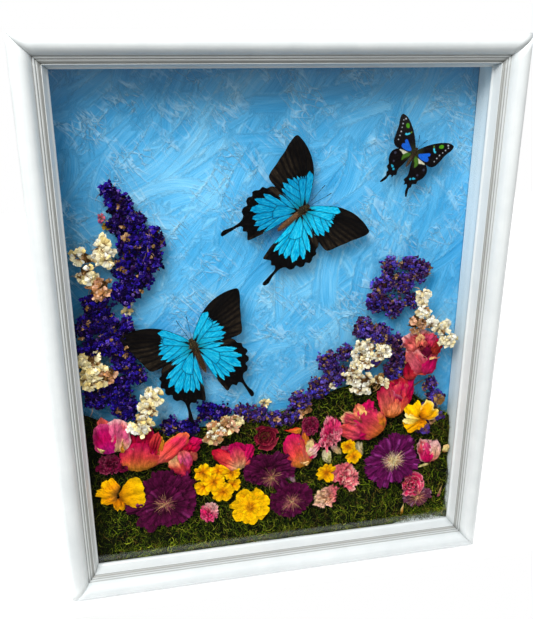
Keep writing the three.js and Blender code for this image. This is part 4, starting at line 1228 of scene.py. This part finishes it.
# Each single petal is its form, base, tip, half width, depth and colours from base to tip, with any changes
FLOWERS = {
    "yellow_flower_round": dict(YELLOW, rings=[(0, 0, 7, 1, 0, 1), (0, 0, 6, 0.74, 0.1, 2.4),
                                               (0, 0, 5, 0.5, 0, 3.6)],
                                width=0.5, heart_front=3.6, heart=(6, 90, [(214, 130, 4), (176, 92, 0),
                                                                           (246, 180, 20)])),
    "yellow_flower_left": dict(YELLOW, petals=[
        ("fan", (-4, 3), (-17, 19), 8, 10.4, (OLIVE, (240, 150, 0), (255, 190, 0))),
        ("fan", (-4, 1), (-26, 6), 6, 9.6, (OLIVE, (250, 170, 0), (255, 192, 0))),
        ("fan", (-5, -1), (-21, -8), 5, 10, (OLIVE, (236, 146, 0), (255, 186, 0))),
        ("heart", (-3, -3), (-2, -20), 6, 10.2, ((176, 90, 0), (226, 136, 0), (255, 180, 0))),
        ("lobed", (-2, 1), (25, 3), 19, 8, ((190, 110, 0), (255, 182, 0), (255, 200, 0)),
         dict(cup=0.06, arch=0))]),
    "yellow_flower_cluster": dict(YELLOW, rings=[
        (-0.55, 0.6, 4, 0.42, 0.1, 1), (0.1, 0.55, 4, 0.38, 0.2, 0), (0.65, 0.45, 5, 0.4, 0, 1),
        (-0.1, 0.05, 5, 0.48, 0.1, 1), (-0.5, -0.2, 4, 0.42, 0, 0), (0.25, -0.5, 5, 0.5, 0.1, 2),
        (0.7, -0.25, 4, 0.36, 0.2, 0)]),
    "yellow_flower_mid": dict(YELLOW, rings=[(-0.2, 0.45, 4, 0.55, 0, 1), (0.25, -0.35, 4, 0.6, 0.1, 1)],
                              width=0.7),
    "yellow_flower_low": dict(YELLOW, rings=[(0.1, 0.1, 4, 0.95, 0.15, 1)], width=0.5),
    "yellow_flower_right": dict(YELLOW, petals=[
        ("heart", (3, -5), (-15, -17), 8, 11, ((206, 110, 0), (250, 170, 0), (255, 186, 0))),
        ("heart", (2, -4), (4, -19), 7, 11.6, ((190, 96, 0), (240, 150, 0), (250, 176, 0))),
        ("heart", (-2, -3), (-11, 17), 10, 9.4, ((214, 120, 0), (255, 186, 0), (255, 204, 0))),
        ("heart", (0, -4), (-19, 0), 7, 9.2, ((236, 160, 0), (255, 220, 90), (255, 236, 160))),
        ("heart", (2, -2), (19, 10), 12, 9, ((206, 110, 0), (255, 176, 0), (255, 196, 0)),
         dict(edge=(255, 232, 130)))]),
    "rosebud_low_pink": dict(CARNATION, count=22, rim=0.4, colours=[(150, 0, 60), (220, 10, 90),
                                                                    (240, 60, 130)],
                             washes=[((255, 220, 205), 30, 0.7)]),
    "rose_lower_right": dict(ROSE, tilt=25, open=0.6, tall=1.1, rim=0.6, size=1, crumple=0.08, count=12,
                             colours=[(130, 6, 46), (214, 18, 80), (226, 44, 104)]),
    "aster_purple": dict(PLUM, petal="wedge", width=0.22, rings=[(0, 0, 16, 1, 0, 1),
                                                                 (0, 0, 14, 0.88, 0.03, 3)],
                         colours=[(84, 8, 64), (92, 12, 72), (104, 18, 82)], pale=0.7,
                         pale_colour=(176, 66, 160),
                         heart_front=3, burst=(15, 360, [(255, 236, 190), (250, 206, 170), (226, 150, 180),
                                                         (240, 190, 130)]),
                         heart=(8, 220, [(255, 244, 200), (255, 226, 150), (210, 150, 80),
                                         (255, 240, 190)])),
    "zinnia_plum_left": dict(PLUM, rings=[(0, 0, 15, 1, 0, 1), (0, 0, 14, 0.82, 0.03, 3),
                                          (0, 0, 11, 0.6, 0, 6)]),
    "zinnia_plum_low": dict(PLUM, rings=[(0, 0, 13, 1, 0, 1), (0, 0, 12, 0.8, 0.03, 3),
                                         (0, 0, 9, 0.55, 0, 6)]),
    "zinnia_plum_mid": dict(PLUM, rings=[(0, 0, 14, 1, 0, 0), (0, 0, 12, 0.8, 0.03, 1.6),
                                         (0.1, -0.3, 9, 0.6, 0, 3)],
                            pale=0.3, heart_front=3),
    "zinnia_faded": dict(PLUM, rings=[(0, 0, 11, 1, 0, 1), (0, 0, 9, 0.7, 0.05, 2)], pale=0.4, heart_front=2,
                         colours=[(50, 16, 34), (84, 34, 56), (116, 60, 86)], pale_colour=(196, 160, 176)),
    "carnation_pink": dict(CARNATION, colours=[(160, 10, 56), (222, 60, 96), (240, 120, 130)], heading=30,
                           tilt=60,
                           rim=0.8, rim_colour=(252, 200, 180)),
    "carnation_peach": dict(CARNATION, colours=[(180, 70, 60), (236, 164, 120), (252, 214, 170)],
                            heading=-60, tilt=66,
                            washes=[((214, 40, 96), 80, 0.8)]),
    "carnation_tall": dict(CARNATION, colours=[(130, 4, 52), (206, 20, 84), (232, 60, 118)], heading=-8,
                           tilt=74,
                           rim_colour=(250, 190, 190), washes=[((246, 160, 160), 150, 0.4)]),
    "carnation_dark_left": dict(CARNATION, colours=[(36, 2, 14), (84, 4, 34), (128, 12, 62)], rim=0.1,
                                rings=[(0.85, -0.35, 9, 0.62, 0, 1), (0.85, -0.35, 7, 0.4, 0.05, 3)]),
    "carnation_dark_mid": dict(CARNATION, colours=[(48, 2, 20), (104, 6, 44), (146, 18, 68)], rim=0.1),
    "rose_burgundy": dict(ROSE, tilt=12, count=12, rim_colour=(196, 74, 84), rim=0.5, open=0.7, tall=0.9,
                          size=1,
                          colours=[(190, 130, 70), (92, 6, 28), (124, 10, 44)], crumple=0.04),
    "rosebud_pink_left": dict(ROSE, open=0.1, colours=[OLIVE, CRIMSON, ROSE_PINK], petals=[
        ("egg", (-7, -13), (-8, 20), 8, 13, (MAGENTA, CRIMSON, SALMON)),
        ("egg", (6, -16), (12, 15), 9, 12.4, (STRAW, DUSTY, SALMON), dict(edge=PALE_PINK)),
        ("egg", (3, -17), (6, 18), 14, 10.4, (CREAM, DUSTY, (214, 96, 130)), dict(edge=PALE_PINK)),
        ("egg", (-3, -18), (-9, 15), 13, 9.6, (ORCHID, MAGENTA, (186, 20, 104)), dict(cup=0.35, edge=DUSTY)),
        ("sepal", (9, -18), (10, -5), 1.6, 9.8, (GOLD, GOLD, CREAM)),
        ("sepal", (-9, -15), (-14, -11), 2.4, 11, (OLIVE, STRAW, CREAM))]),
    "rose_red_left": dict(ROSE, colours=[WINE, (120, 4, 40), CRIMSON], heading=10, petals=[
        ("pointed", (-4, -6), (-9, 20), 8, 15, (WINE, CRIMSON, (150, 6, 46))),
        ("pointed", (2, -6), (10, 28), 9, 14, (WINE, (150, 6, 50), CRIMSON), dict(edge=MAGENTA)),
        ("rose", (9, -9), (19, 20), 6, 13, (WINE, CRIMSON, CORAL), dict(edge=CORAL)),
        ("pointed", (5, -8), (8, 14), 9, 12.4, (WINE, MAGENTA, CRIMSON)),
        ("egg", (-1, -19), (1, 12), 21, 10.4, (GOLD, CORAL, MAGENTA), dict(edge=(190, 10, 66)))]),
    "rose_red_middle": dict(ROSE, colours=[OLIVE, CRIMSON, CORAL], heading=30, size=0.7, petals=[
        ("pointed", (2, -2), (22, 16), 8, 14, (WINE, CRIMSON, HOT_PINK), dict(crumple=0.8)),
        ("pointed", (-22, -4), (-17, 23), 4, 14, (OLIVE, (176, 90, 24), GOLD)),
        ("rose", (1, 8), (17, -6), 7, 14, (CRIMSON, SALMON, (150, 70, 50)), dict(crumple=0.6)),
        ("pointed", (-6, 2), (6, -24), 10, 12.6, (CREAM, CORAL, MAGENTA)),
        ("rose", (3, 8), (9, -14), 7, 12, (SALMON, DUSTY, HOT_PINK), dict(edge=CORAL)),
        ("pointed", (-23, -4), (9, 23), 10, 11.6, (SALMON, CORAL, HOT_PINK), dict(edge=ORANGE, cup=0.5))]),
    "rosebud_wedge": dict(ROSE, open=0.1, heading=-25, colours=[ORANGE, HOT_PINK, MAGENTA], petals=[
        ("rose", (7, -12), (4, 12), 10, 14, (CRIMSON, WINE, MAGENTA)),
        ("rose", (8, -16), (20, 9), 8, 12.8, (ORANGE, HOT_PINK, MAGENTA)),
        ("pointed", (9, -17), (-20, 5), 9, 11.4, (CREAM, CORAL, CRIMSON), dict(edge=CRIMSON)),
        ("rose", (8, -17), (2, 9), 9, 11, (CREAM, SALMON, HOT_PINK), dict(edge=MAGENTA))]),
    "rosebud_magenta": dict(ROSE, open=0.1, heading=-15, colours=[GOLD, CORAL, MAGENTA], petals=[
        ("sepal", (4, 19), (-11, 20), 3.4, 15, (GOLD, ORANGE, RED)),
        ("pointed", (11, -22), (8, 15), 5, 12, (GOLD, GOLD, ORANGE)),
        ("egg", (7, -24), (-8, 15), 14, 10.6, (GOLD, CORAL, MAGENTA), dict(edge=HOT_PINK)),
        ("pointed", (8, -23), (3, 8), 6, 10.4, (GOLD, SALMON, CORAL)),
        ("sepal", (12, -20), (4, -18), 3, 10.6, (GOLD, CREAM, CREAM))]),
    "rosebud_small": dict(ROSE, open=0.1, heading=30, colours=[STRAW, DUSTY, MAGENTA], size=0.7, petals=[
        ("rose", (-7, -8), (3, -8), 4, 12, (MAGENTA, HOT_PINK, PALE_PINK)),
        ("pointed", (-8, -6), (-3, 12), 5, 11, (STRAW, STRAW, CREAM), dict(edge=WINE)),
        ("rose", (-7, -7), (5, 5), 5, 10.4, (CREAM, PALE_PINK, HOT_PINK))]),
    "rosebud_orange": dict(ROSE, open=0.1, heading=5, colours=[ORANGE, CRIMSON, MAGENTA], petals=[
        ("rose", (3, -8), (5, 22), 15, 15, (CRIMSON, MAGENTA, RED), dict(edge=CORAL, crumple=0.6)),
        ("rose", (3, -17), (19, 19), 9, 13, (SALMON, CRIMSON, MAGENTA), dict(edge=(150, 0, 50))),
        ("rose", (1, -20), (8, 18), 12, 11.6, (ORANGE, CORAL, MAGENTA), dict(edge=SALMON, crumple=0.5)),
        ("rose", (-2, -21), (-10, 17), 13, 10.2, (ORANGE, SALMON, (214, 30, 82)),
         dict(edge=(196, 14, 66), crumple=0.5)),
        ("egg", (-1, -20), (-2, 2), 8, 9.8, (ORANGE, (240, 138, 90), CORAL))]),
    "rose_salmon": dict(ROSE, colours=[SALMON, HOT_PINK, MAGENTA], heading=-40, open=0.5, size=0.8, petals=[
        ("pointed", (6, 8), (5, 23), 7, 14, (SALMON, MAGENTA, HOT_PINK), dict(crumple=0.7)),
        ("rose", (2, 2), (-9, 19), 6, 13.4, (CREAM, (246, 190, 110), SALMON), dict(crumple=0.8)),
        ("rose", (3, -2), (-24, 6), 8, 12.6, (WINE, SALMON, MAGENTA), dict(edge=CREAM, crumple=0.7)),
        ("rose", (8, -17), (-9, -15), 7, 12.8, (CRIMSON, MAGENTA, ROSE_PINK)),
        ("rose", (-2, -18), (-26, -4), 9, 11.4, (ROSE_PINK, (214, 74, 86), CORAL), dict(edge=SALMON)),
        ("egg", (20, -16), (-8, 9), 17, 10.6, (ORANGE, (206, 60, 74), MAGENTA), dict(edge=HOT_PINK)),
        ("rose", (22, -8), (18, 9), 5, 11.4, (GOLD, ORANGE, SALMON))]),
    "rose_large_right": dict(ROSE, colours=[WINE, ROSE_PINK, SALMON], heading=5, open=0.6, rim=0.5,
                             size=0.85, petals=[
        ("rose", (-2, 4), (-1, 28), 15, 15, (WINE, (176, 36, 66), CORAL), dict(edge=PALE_PINK, crumple=0.7)),
        ("rose", (-6, 4), (-22, 25), 9, 13, (CRIMSON, (226, 110, 100), (190, 40, 70)),
         dict(crumple=0.8, edge=PALE_PINK)),
        ("rose", (-3, 8), (-7, 26), 6, 12, (WINE, SALMON, CREAM), dict(crumple=0.8)),
        ("rose", (2, 8), (8, 26), 7, 12.4, (WINE, (196, 40, 70), DUSTY), dict(crumple=0.8, edge=CORAL)),
        ("rose", (7, -2), (18, 19), 8, 12, ((150, 40, 30), (150, 40, 30), CRIMSON),
         dict(edge=HOT_PINK, crumple=0.6, cup=0.5)),
        ("egg", (8, 0), (-9, 13), 7, 11.4, (WINE, (100, 6, 44), WINE), dict(crumple=0.6)),
        ("egg", (-13, -25), (-15, -4), 8, 12.6, (CORAL, CRIMSON, (130, 6, 48)), dict(edge=WINE)),
        ("rose", (8, -17), (-8, -12), 6, 11.8, (RED, CORAL, ORANGE)),
        ("egg", (4, -17), (-18, 12), 12, 10.6, (CRIMSON, (226, 92, 112), (222, 110, 110)),
         dict(edge=SALMON)),
        ("egg", (1, -18), (11, 3), 9, 9.8, (ROSE_PINK, MAGENTA, (110, 14, 60)), dict(edge=(170, 60, 60))),
        ("sepal", (4, 0), (14, 0), 1.2, 9, (CREAM, CREAM, CORAL))]),
    "rosebud_right": dict(ROSE, colours=[MAGENTA, HOT_PINK, PALE_PINK], open=0.5, rim=0.6, crumple=0.08,
                          petals=[
        ("rose", (1, -16), (-10, 13), 8, 12, (DUSTY, HOT_PINK, SALMON), dict(edge=PALE_PINK, crumple=0.6)),
        ("rose", (4, -15), (8, 10), 8, 11, (SALMON, (246, 184, 150), PALE_PINK), dict(crumple=0.6)),
        ("pointed", (0, -15), (-4, 9), 6, 10.4, (MAGENTA, HOT_PINK, DUSTY), dict(crumple=0.6)),
        ("sepal", (1, -16), (-11, -20), 1.2, 11, (OLIVE, STRAW, STRAW)),
        ("pointed", (19, -5), (23, 4), 4, 12, (OLIVE, STRAW, CREAM), dict(cup=0.6))]),
}


# Statice and moss, over the surfaces of their solids

def surface_of(node):
    """A CAD node's points and triangles, in the box's millimetres."""
    mesh = nodes[node].data
    points = np.empty(3 * len(mesh.vertices))
    mesh.vertices.foreach_get("co", points)
    mesh.calc_loop_triangles()
    triangles = np.empty(3 * len(mesh.loop_triangles), dtype=int)
    mesh.loop_triangles.foreach_get("vertices", triangles)
    return in_box(points.reshape(-1, 3)), triangles.reshape(-1, 3)


def scattered(points, triangles, spacing, random, seen=0.5):
    """Random places over the part of a surface that faces forward more than the limit, about one in each
    square of the spacing, with the way that the surface faces there."""
    a, b, c = (points[triangles[:, i]] for i in range(3))
    normals = np.cross(b - a, c - a)
    areas = np.linalg.norm(normals, axis=1)
    normals = unit(normals)
    areas = areas * (normals[:, 1] < seen)
    chosen = random.choice(len(areas), int(areas.sum() / 2 / spacing ** 2), p=areas / areas.sum())
    u, v = random.random((2, len(chosen), 1))
    flip = (u + v) > 1
    u, v = np.where(flip, 1 - u, u), np.where(flip, 1 - v, v)
    return a[chosen] + u * (b - a)[chosen] + v * (c - a)[chosen], normals[chosen]


def shrunk(points, triangles, by):
    """A surface drawn in along its normals."""
    a, b, c = (points[triangles[:, i]] for i in range(3))
    faces = np.cross(b - a, c - a)
    normals = np.zeros_like(points)
    for i in range(3):
        np.add.at(normals, triangles[:, i], faces)
    return points - by * unit(normals)


def florets(places, facings, sizes, tints, random, sides=7):
    """Ragged funnels, each with a narrow foot and an uneven rim."""
    count = len(places)
    facings = unit(facings + random.normal(0, 0.5, facings.shape))
    first = unit(np.cross(facings, random.normal(size=(count, 3))))
    flat = circle(sides, first, np.cross(facings, first))
    rim = 1 + random.uniform(-0.45, 0.35, (count, sides))
    rise = random.uniform(0.3, 1.2, (count, sides))
    foot = 0.22 * flat - 0.6 * facings[:, None]
    mouth = rim[..., None] * flat + rise[..., None] * facings[:, None]
    rings = [places[:, None] + sizes[:, None, None] * ring for ring in (foot, mouth)]
    points = np.concatenate([*rings, places[:, None]], axis=1).reshape(-1, 3)
    stride = 2 * sides + 1
    one = np.concatenate([grid_triangles(2, sides, closed=True), fan(sides, sides, 2 * sides, opened=True)])
    shade = np.concatenate([np.full(sides, 0.35), np.full(sides, 1.25), [0.3]])
    tint = tints[:, None] * shade[None, :, None] * random.uniform(0.8, 1.2, (count, stride, 1))
    return points, copies(one, count, stride), tint.reshape(-1, 3)


VIOLET_TONES = [(86, 60, 160), (72, 46, 132), (106, 88, 190), (64, 34, 104), (104, 68, 124), (80, 70, 206)]
INKY_TONES = [(22, 8, 112), (36, 14, 142), (28, 8, 84), (58, 38, 190), (48, 18, 126)]
WHITE_TONES = [(255, 250, 226), (255, 244, 206), (252, 232, 176), (255, 253, 238)]
YELLOWED = [(252, 234, 172), (242, 216, 140), (255, 243, 198)]
TAN_TONES = [(206, 150, 96), (190, 130, 80), (230, 180, 146), (214, 154, 120)]
DRY_TONES = [(132, 94, 46), (174, 134, 82), (104, 70, 36), (190, 148, 106)]
FLORET_SPACING = 1.84
FLORET_SIZES = (1.0, 2.2)
BRACT_SPACING = 5.4
DRY_BRACT_SPACING = {True: 22, False: 9}  # among purple florets and among cream bracts
STEM_SPACING = {True: 11, False: 7}
TAN_SPOTS = [(-171, 50, 12), (-166, -40, 11), (144, -8, 13), (40, -84, 10)]  # x, z and reach
SPRAY_TONES = {
    "statice_cream_left": YELLOWED, "statice_cream_left_low": YELLOWED + WHITE_TONES,
    "statice_cream_left_top": WHITE_TONES + YELLOWED, "statice_cream_mid": TAN_TONES + YELLOWED,
    "statice_cream_right": WHITE_TONES, "statice_cream_right_top": WHITE_TONES,
}


def add_bracts(pile, places, tones, length, slim, random, count=6, spread=1.7):
    """Small fans of papery bracts that open from each place."""
    for place in places:
        way = random.uniform(0, 2 * math.pi)
        for i in range(count):
            turn = way + spread * (i / (count - 1) - 0.5) + random.uniform(-0.15, 0.15)
            reach = length * random.uniform(0.7, 1.2)
            ahead = np.array([math.sin(turn), math.cos(turn)])
            base = place[[0, 2]] + 0.12 * reach * ahead
            tone = random.uniform(0.85, 1.1) * np.array(tones[random.integers(0, len(tones))])
            petal = Petal("ragged", reach, slim * reach, [(130, 84, 40), tone * 0.96, tone], random, 4, 6)
            lay(pile, petal, base, base + reach * ahead, place[1] - 1 - 0.8 * (i % 2), random, cup=0.2,
                arch=0.08,
                rise=random.uniform(-1, 3), crumple=0.3)


def add_stems(pile, places, random):
    """Thin dry stems among the florets."""
    count = len(places)
    ways = random.normal(size=(count, 3)) * [1, 0.25, 1]
    add_threads(pile, places, ways, random.uniform(4, 13, count), random.uniform(0.5, 1.0, count), 0.3,
                DRY_TONES, random)


def add_spray(node, material):
    random = np.random.default_rng(sum(map(ord, node)))
    points, triangles = surface_of(node)
    is_purple = node.startswith("statice_purple")
    pile = Pile()
    core = shrunk(points, triangles, 2.4)
    # painted shade: a dark core drawn under the florets, dark violet in the gaps between purple florets;
    # under cream bracts it is brown
    pile.add(core, triangles, tint=srgb(22, 12, 50) if is_purple else srgb(96, 66, 34), grain=core)
    if is_purple:
        places, facings = scattered(points, triangles, FLORET_SPACING, random)
        count = len(places)
        lumps = np.sin(places @ random.normal(0, 0.4, 3) + 1) + np.sin(places @ random.normal(0, 0.9, 3))
        sunk = random.uniform(-1.2, 2.6, count) - 1.6 * lumps * (np.abs(facings[:, 1]) < 0.6)
        places -= facings * sunk[:, None]
        patch = 0.85 + 0.4 * np.sin(places @ random.normal(0, 0.35, 3) + random.uniform(0, 6))
        tones, dryness = (INKY_TONES, 0.02) if "_left" in node else (VIOLET_TONES, 0.09)
        # painted shade: florets sunk deeper into the spray are drawn darker; the patches are the flowers'
        # own uneven tone
        tints = pick_tones(tones, count, random) * (patch * (1.25 - 0.3 * np.clip(sunk, 0, 3)))[:, None]
        tints[patch < 0.62] *= [1.5, 0.9, 0.6]
        bright = random.random(count) < 0.1
        tints[bright] = pick_tones([(96, 72, 214), (130, 98, 196)], bright.sum(), random)
        dry = random.random(count) < dryness
        tints[dry] = pick_tones(DRY_TONES, dry.sum(), random)
        mesh, faces, tint = florets(places, facings, random.uniform(*FLORET_SIZES, count), tints, random)
        pile.add(mesh, faces, tint=tint, grain=mesh)
    else:
        places = scattered(points, triangles, BRACT_SPACING, random, 0.2)[0]
        is_tan = np.any([np.hypot(places[:, 0] - x, places[:, 2] - z) < reach for x, z, reach in TAN_SPOTS],
                        axis=0)
        length = 5.2 if node == "statice_cream_right" else 6.2
        add_bracts(pile, places[~is_tan], SPRAY_TONES[node], length, 0.35, random)
        add_bracts(pile, places[is_tan], TAN_TONES, 4.5, 0.3, random, 7)
    dry = scattered(points, triangles, DRY_BRACT_SPACING[is_purple], random, 0)[0]
    add_bracts(pile, dry, DRY_TONES, 3.6 if is_purple else 3.4, 0.2, random)
    add_stems(pile, scattered(points, triangles, STEM_SPACING[is_purple], random)[0], random)
    pile.hold()
    slot = "purple_statice" if is_purple else "cream_statice"
    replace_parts(pile.finish(node + "_florets", material, slot), node)


# Moss: curling fibres over the bank, in brighter and darker clumps

MOSS_TONES = [(40, 58, 8), (58, 80, 10), (82, 104, 14), (112, 132, 22), (150, 160, 40), (54, 66, 14),
              (110, 90, 36)]
MOSS_SPACING = 1.64
BOTTOM_FIBRES = 3400
BOTTOM_LEDGE = ([-ROOM_HALF_WIDTH, 6.6, -250.5], [ROOM_HALF_WIDTH, 20, -240])


def add_moss(material):
    random = np.random.default_rng(77)
    points, triangles = surface_of("moss_bank")
    core = shrunk(points, triangles, 0.7)
    places, facings = scattered(points, triangles, MOSS_SPACING, random, 0.2)
    places -= facings * random.uniform(0, 1.2, (len(places), 1))
    ledge = random.uniform(*BOTTOM_LEDGE, (BOTTOM_FIBRES, 3))
    places = np.concatenate([places, ledge])
    facings = np.concatenate([facings, np.tile([0.0, -1, 0.3], (BOTTOM_FIBRES, 1))])
    count = len(places)
    directions = random.normal(size=(count, 3)) + 0.45 * facings
    hairs, faces, owner = ribbons(places, directions, random.uniform(3, 9, count),
                                  random.uniform(0.35, 0.8, count),
                                  0.75, random)
    x, z = places[:, 0], places[:, 2]
    clump_and_edge_shade = 1 + 0.35 * np.sin(0.11 * x + 2 * np.sin(0.07 * z)) * np.sin(0.13 * z + 1.5 * np.sin(0.09 * x))
    # painted shadow: fibres drawn darker towards the left edge, in the frame's shadow
    clump_and_edge_shade *= 0.25 + 0.75 * smooth_step(-204, -170, x)
    tones = pick_tones(MOSS_TONES, count, random, 0.3, 1.6) * clump_and_edge_shade[:, None]
    left = places[owner][:, 0] < 0
    for side, chosen in (("left", left), ("right", ~left)):
        pile = Pile()
        fresh = np.cumsum(chosen) - 1
        kept = faces[chosen[faces[:, 0]]]
        pile.add(kept_in_room(hairs[chosen]), fresh[kept], tint=tones[owner][chosen])
        if side == "left":
            # painted shade: a near-black core under the fibres, for the shade in the gaps between them
            pile.add(core, triangles, tint=srgb(12, 16, 4))
        fibres = pile.finish("moss_fibres_" + side, material, "moss")
        if side == "left":
            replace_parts(fibres, "moss_bank")


# Loose petals, buds and florets, which rest on whatever lies under them. Each petal is its form, base,
# tip, half width and colours, and each floret its middle, radius and colours.

TAN, SAGE, IVORY = (206, 170, 110), (186, 192, 120), (255, 240, 190)
LOOSE_PETALS = [
    ("egg", (98, -170), (93, -148), 5.5, (STRAW, IVORY, IVORY)),
    ("pointed", (95, -170), (97, -150), 3, (STRAW, CREAM, IVORY)),
    ("egg", (58, -170), (54, -152), 5, (STRAW, IVORY, IVORY)),
    ("pointed", (60, -169), (58, -153), 3, (SAGE, STRAW, IVORY)),
    ("pointed", (103, -141), (90, -126), 3.4, (SAGE, SAGE, STRAW)),
    ("pointed", (111, -62), (123, -40), 4, (OLIVE, TAN, TAN)),
    ("sepal", (112, -60), (94, -78), 0.9, (TAN, TAN, OLIVE)),
    ("sepal", (88, -122), (70, -102), 0.8, (OLIVE, TAN, OLIVE)),
    ("rose", (72, -158), (62, -148), 4, (STRAW, CREAM, PALE_PINK)),
    ("sepal", (148, -93), (171, -82), 0.9, (OLIVE, TAN, TAN)),
    ("sepal", (148, -93), (163, -74), 0.8, (OLIVE, TAN, OLIVE)),
    ("pointed", (-66, -118), (-52, -112), 2.5, (OLIVE, GOLD, TAN)),
    ("heart", (12, -176), (20, -188), 5, (DUSTY, (226, 170, 206), PALE_PINK)),
    ("ragged", (-90, -146), (-94, -138), 4, ((40, 20, 110), (60, 40, 170), (90, 70, 210))),
    ("ragged", (-68, -126), (-72, -118), 4, ((30, 16, 100), (50, 40, 170), (80, 80, 220))),
    ("sepal", (146, -246), (148, -234), 1.6, (OLIVE, GOLD, STRAW)),
    ("sepal", (192, -228), (195, -216), 1.6, (DUSTY, (190, 110, 110), TAN)),
]
LOOSE_FLORETS = [
    (-73, -112, 5, WHITE_TONES), (-63, -109, 5, WHITE_TONES), (-148, 32, 5.5, WHITE_TONES),
    (-148, 22, 5, YELLOWED), (32, -98, 7, TAN_TONES), (27, -104, 5, TAN_TONES), (-1, -106, 4, TAN_TONES),
    (-12, -92, 6, YELLOWED), (-54, -100, 6, TAN_TONES), (-46, -98, 5, YELLOWED),
    (-166, 116, 4, [(120, 50, 110), (190, 90, 110)]),
    (-160, 108, 5, [(200, 170, 50), (150, 120, 40)]), (60, -72, 4, WHITE_TONES), (177, -128, 5, TAN_TONES),
    (188, -124, 5, VIOLET_TONES), (166, -134, 6, VIOLET_TONES), (104, -58, 7, VIOLET_TONES),
    (110, -52, 6, VIOLET_TONES), (98, -52, 6, VIOLET_TONES), (108, -64, 6, DRY_TONES),
    (170, -70, 6, DRY_TONES), (179, -97, 6, DRY_TONES), (172, -90, 5, TAN_TONES), (-144, 100, 4, DRY_TONES),
]


def resting_depth(tree, x, z):
    """How deep the foremost of the plants lies at a place."""
    found = tree.ray_cast(Vector((x, 0, z)), Vector((0, 1, 0)))[0]
    return found[1] if found else PANEL_FRONT


def add_loose_pieces(material):
    random = np.random.default_rng(12)
    carriers = Pile()
    for node in nodes:
        if node == "moss_bank" or node.startswith("statice"):
            carriers.add(*surface_of(node))
    tree = BVHTree.FromPolygons(np.concatenate(carriers.points).tolist(),
                                np.concatenate(carriers.triangles).tolist())
    pile = Pile()
    for form, base, tip, half_width, colours in LOOSE_PETALS:
        level = resting_depth(tree, *np.mean([base, tip], axis=0)) - 1.5
        petal = Petal(form, math.dist(base, tip), half_width, colours, random, 10, 13, 2)
        lay(pile, petal, base, tip, level, random, cup=0.6, crumple=0.2)
    for x, z, radius, tones in LOOSE_FLORETS:
        place = np.array([[x, resting_depth(tree, x, z) - 0.5, z]])
        add_bracts(pile, place, tones, radius, 0.36, random, 7, 2 * math.pi * 6 / 7)
    pile.hold()
    pile.finish("loose_petals", material, "cream_statice")


add_camera()
add_surroundings()
add_rails(white_paint())
add_glass()
for liner in ("liner_top", "liner_bottom", "liner_left", "liner_right"):
    dress(liner, liner_board())
dress("back_panel", hardboard())
add_plaster(blue_plaster())
wing_finishes = {"large": large_wing_material(),
                 "small": tinted("small_wing", 0.5, 1.2, 0.08, Specular_IOR_Level=0.03)}
insect_body = tinted("insect_body", 0.7, 1.5, 0.1, Specular_IOR_Level=0.04)
for name, insect in BUTTERFLIES.items():
    add_wings(name, insect, wing_finishes)
    add_insect_body(name, insect, insect_body)
petal_finishes = {name: petal_finish(name, contrast)
                  for name, contrast in (("rose_petal", 0.45), ("plum_petal", 0.55), ("yellow_petal", 0.34))}
for node, look in FLOWERS.items():
    add_flower(node, look, petal_finishes)
statice_finishes = {name: petal_finish(name + "_statice", contrast)
                    for name, contrast in (("purple", 0.4), ("cream", 0.2))}
add_loose_pieces(statice_finishes["cream"])
for node in sorted(nodes):
    if node.startswith("statice_"):
        add_spray(node, statice_finishes[node.split("_")[1]])
add_moss(tinted("moss_fibre", 0.75, 0.6, 0.1, Specular_IOR_Level=0.02))
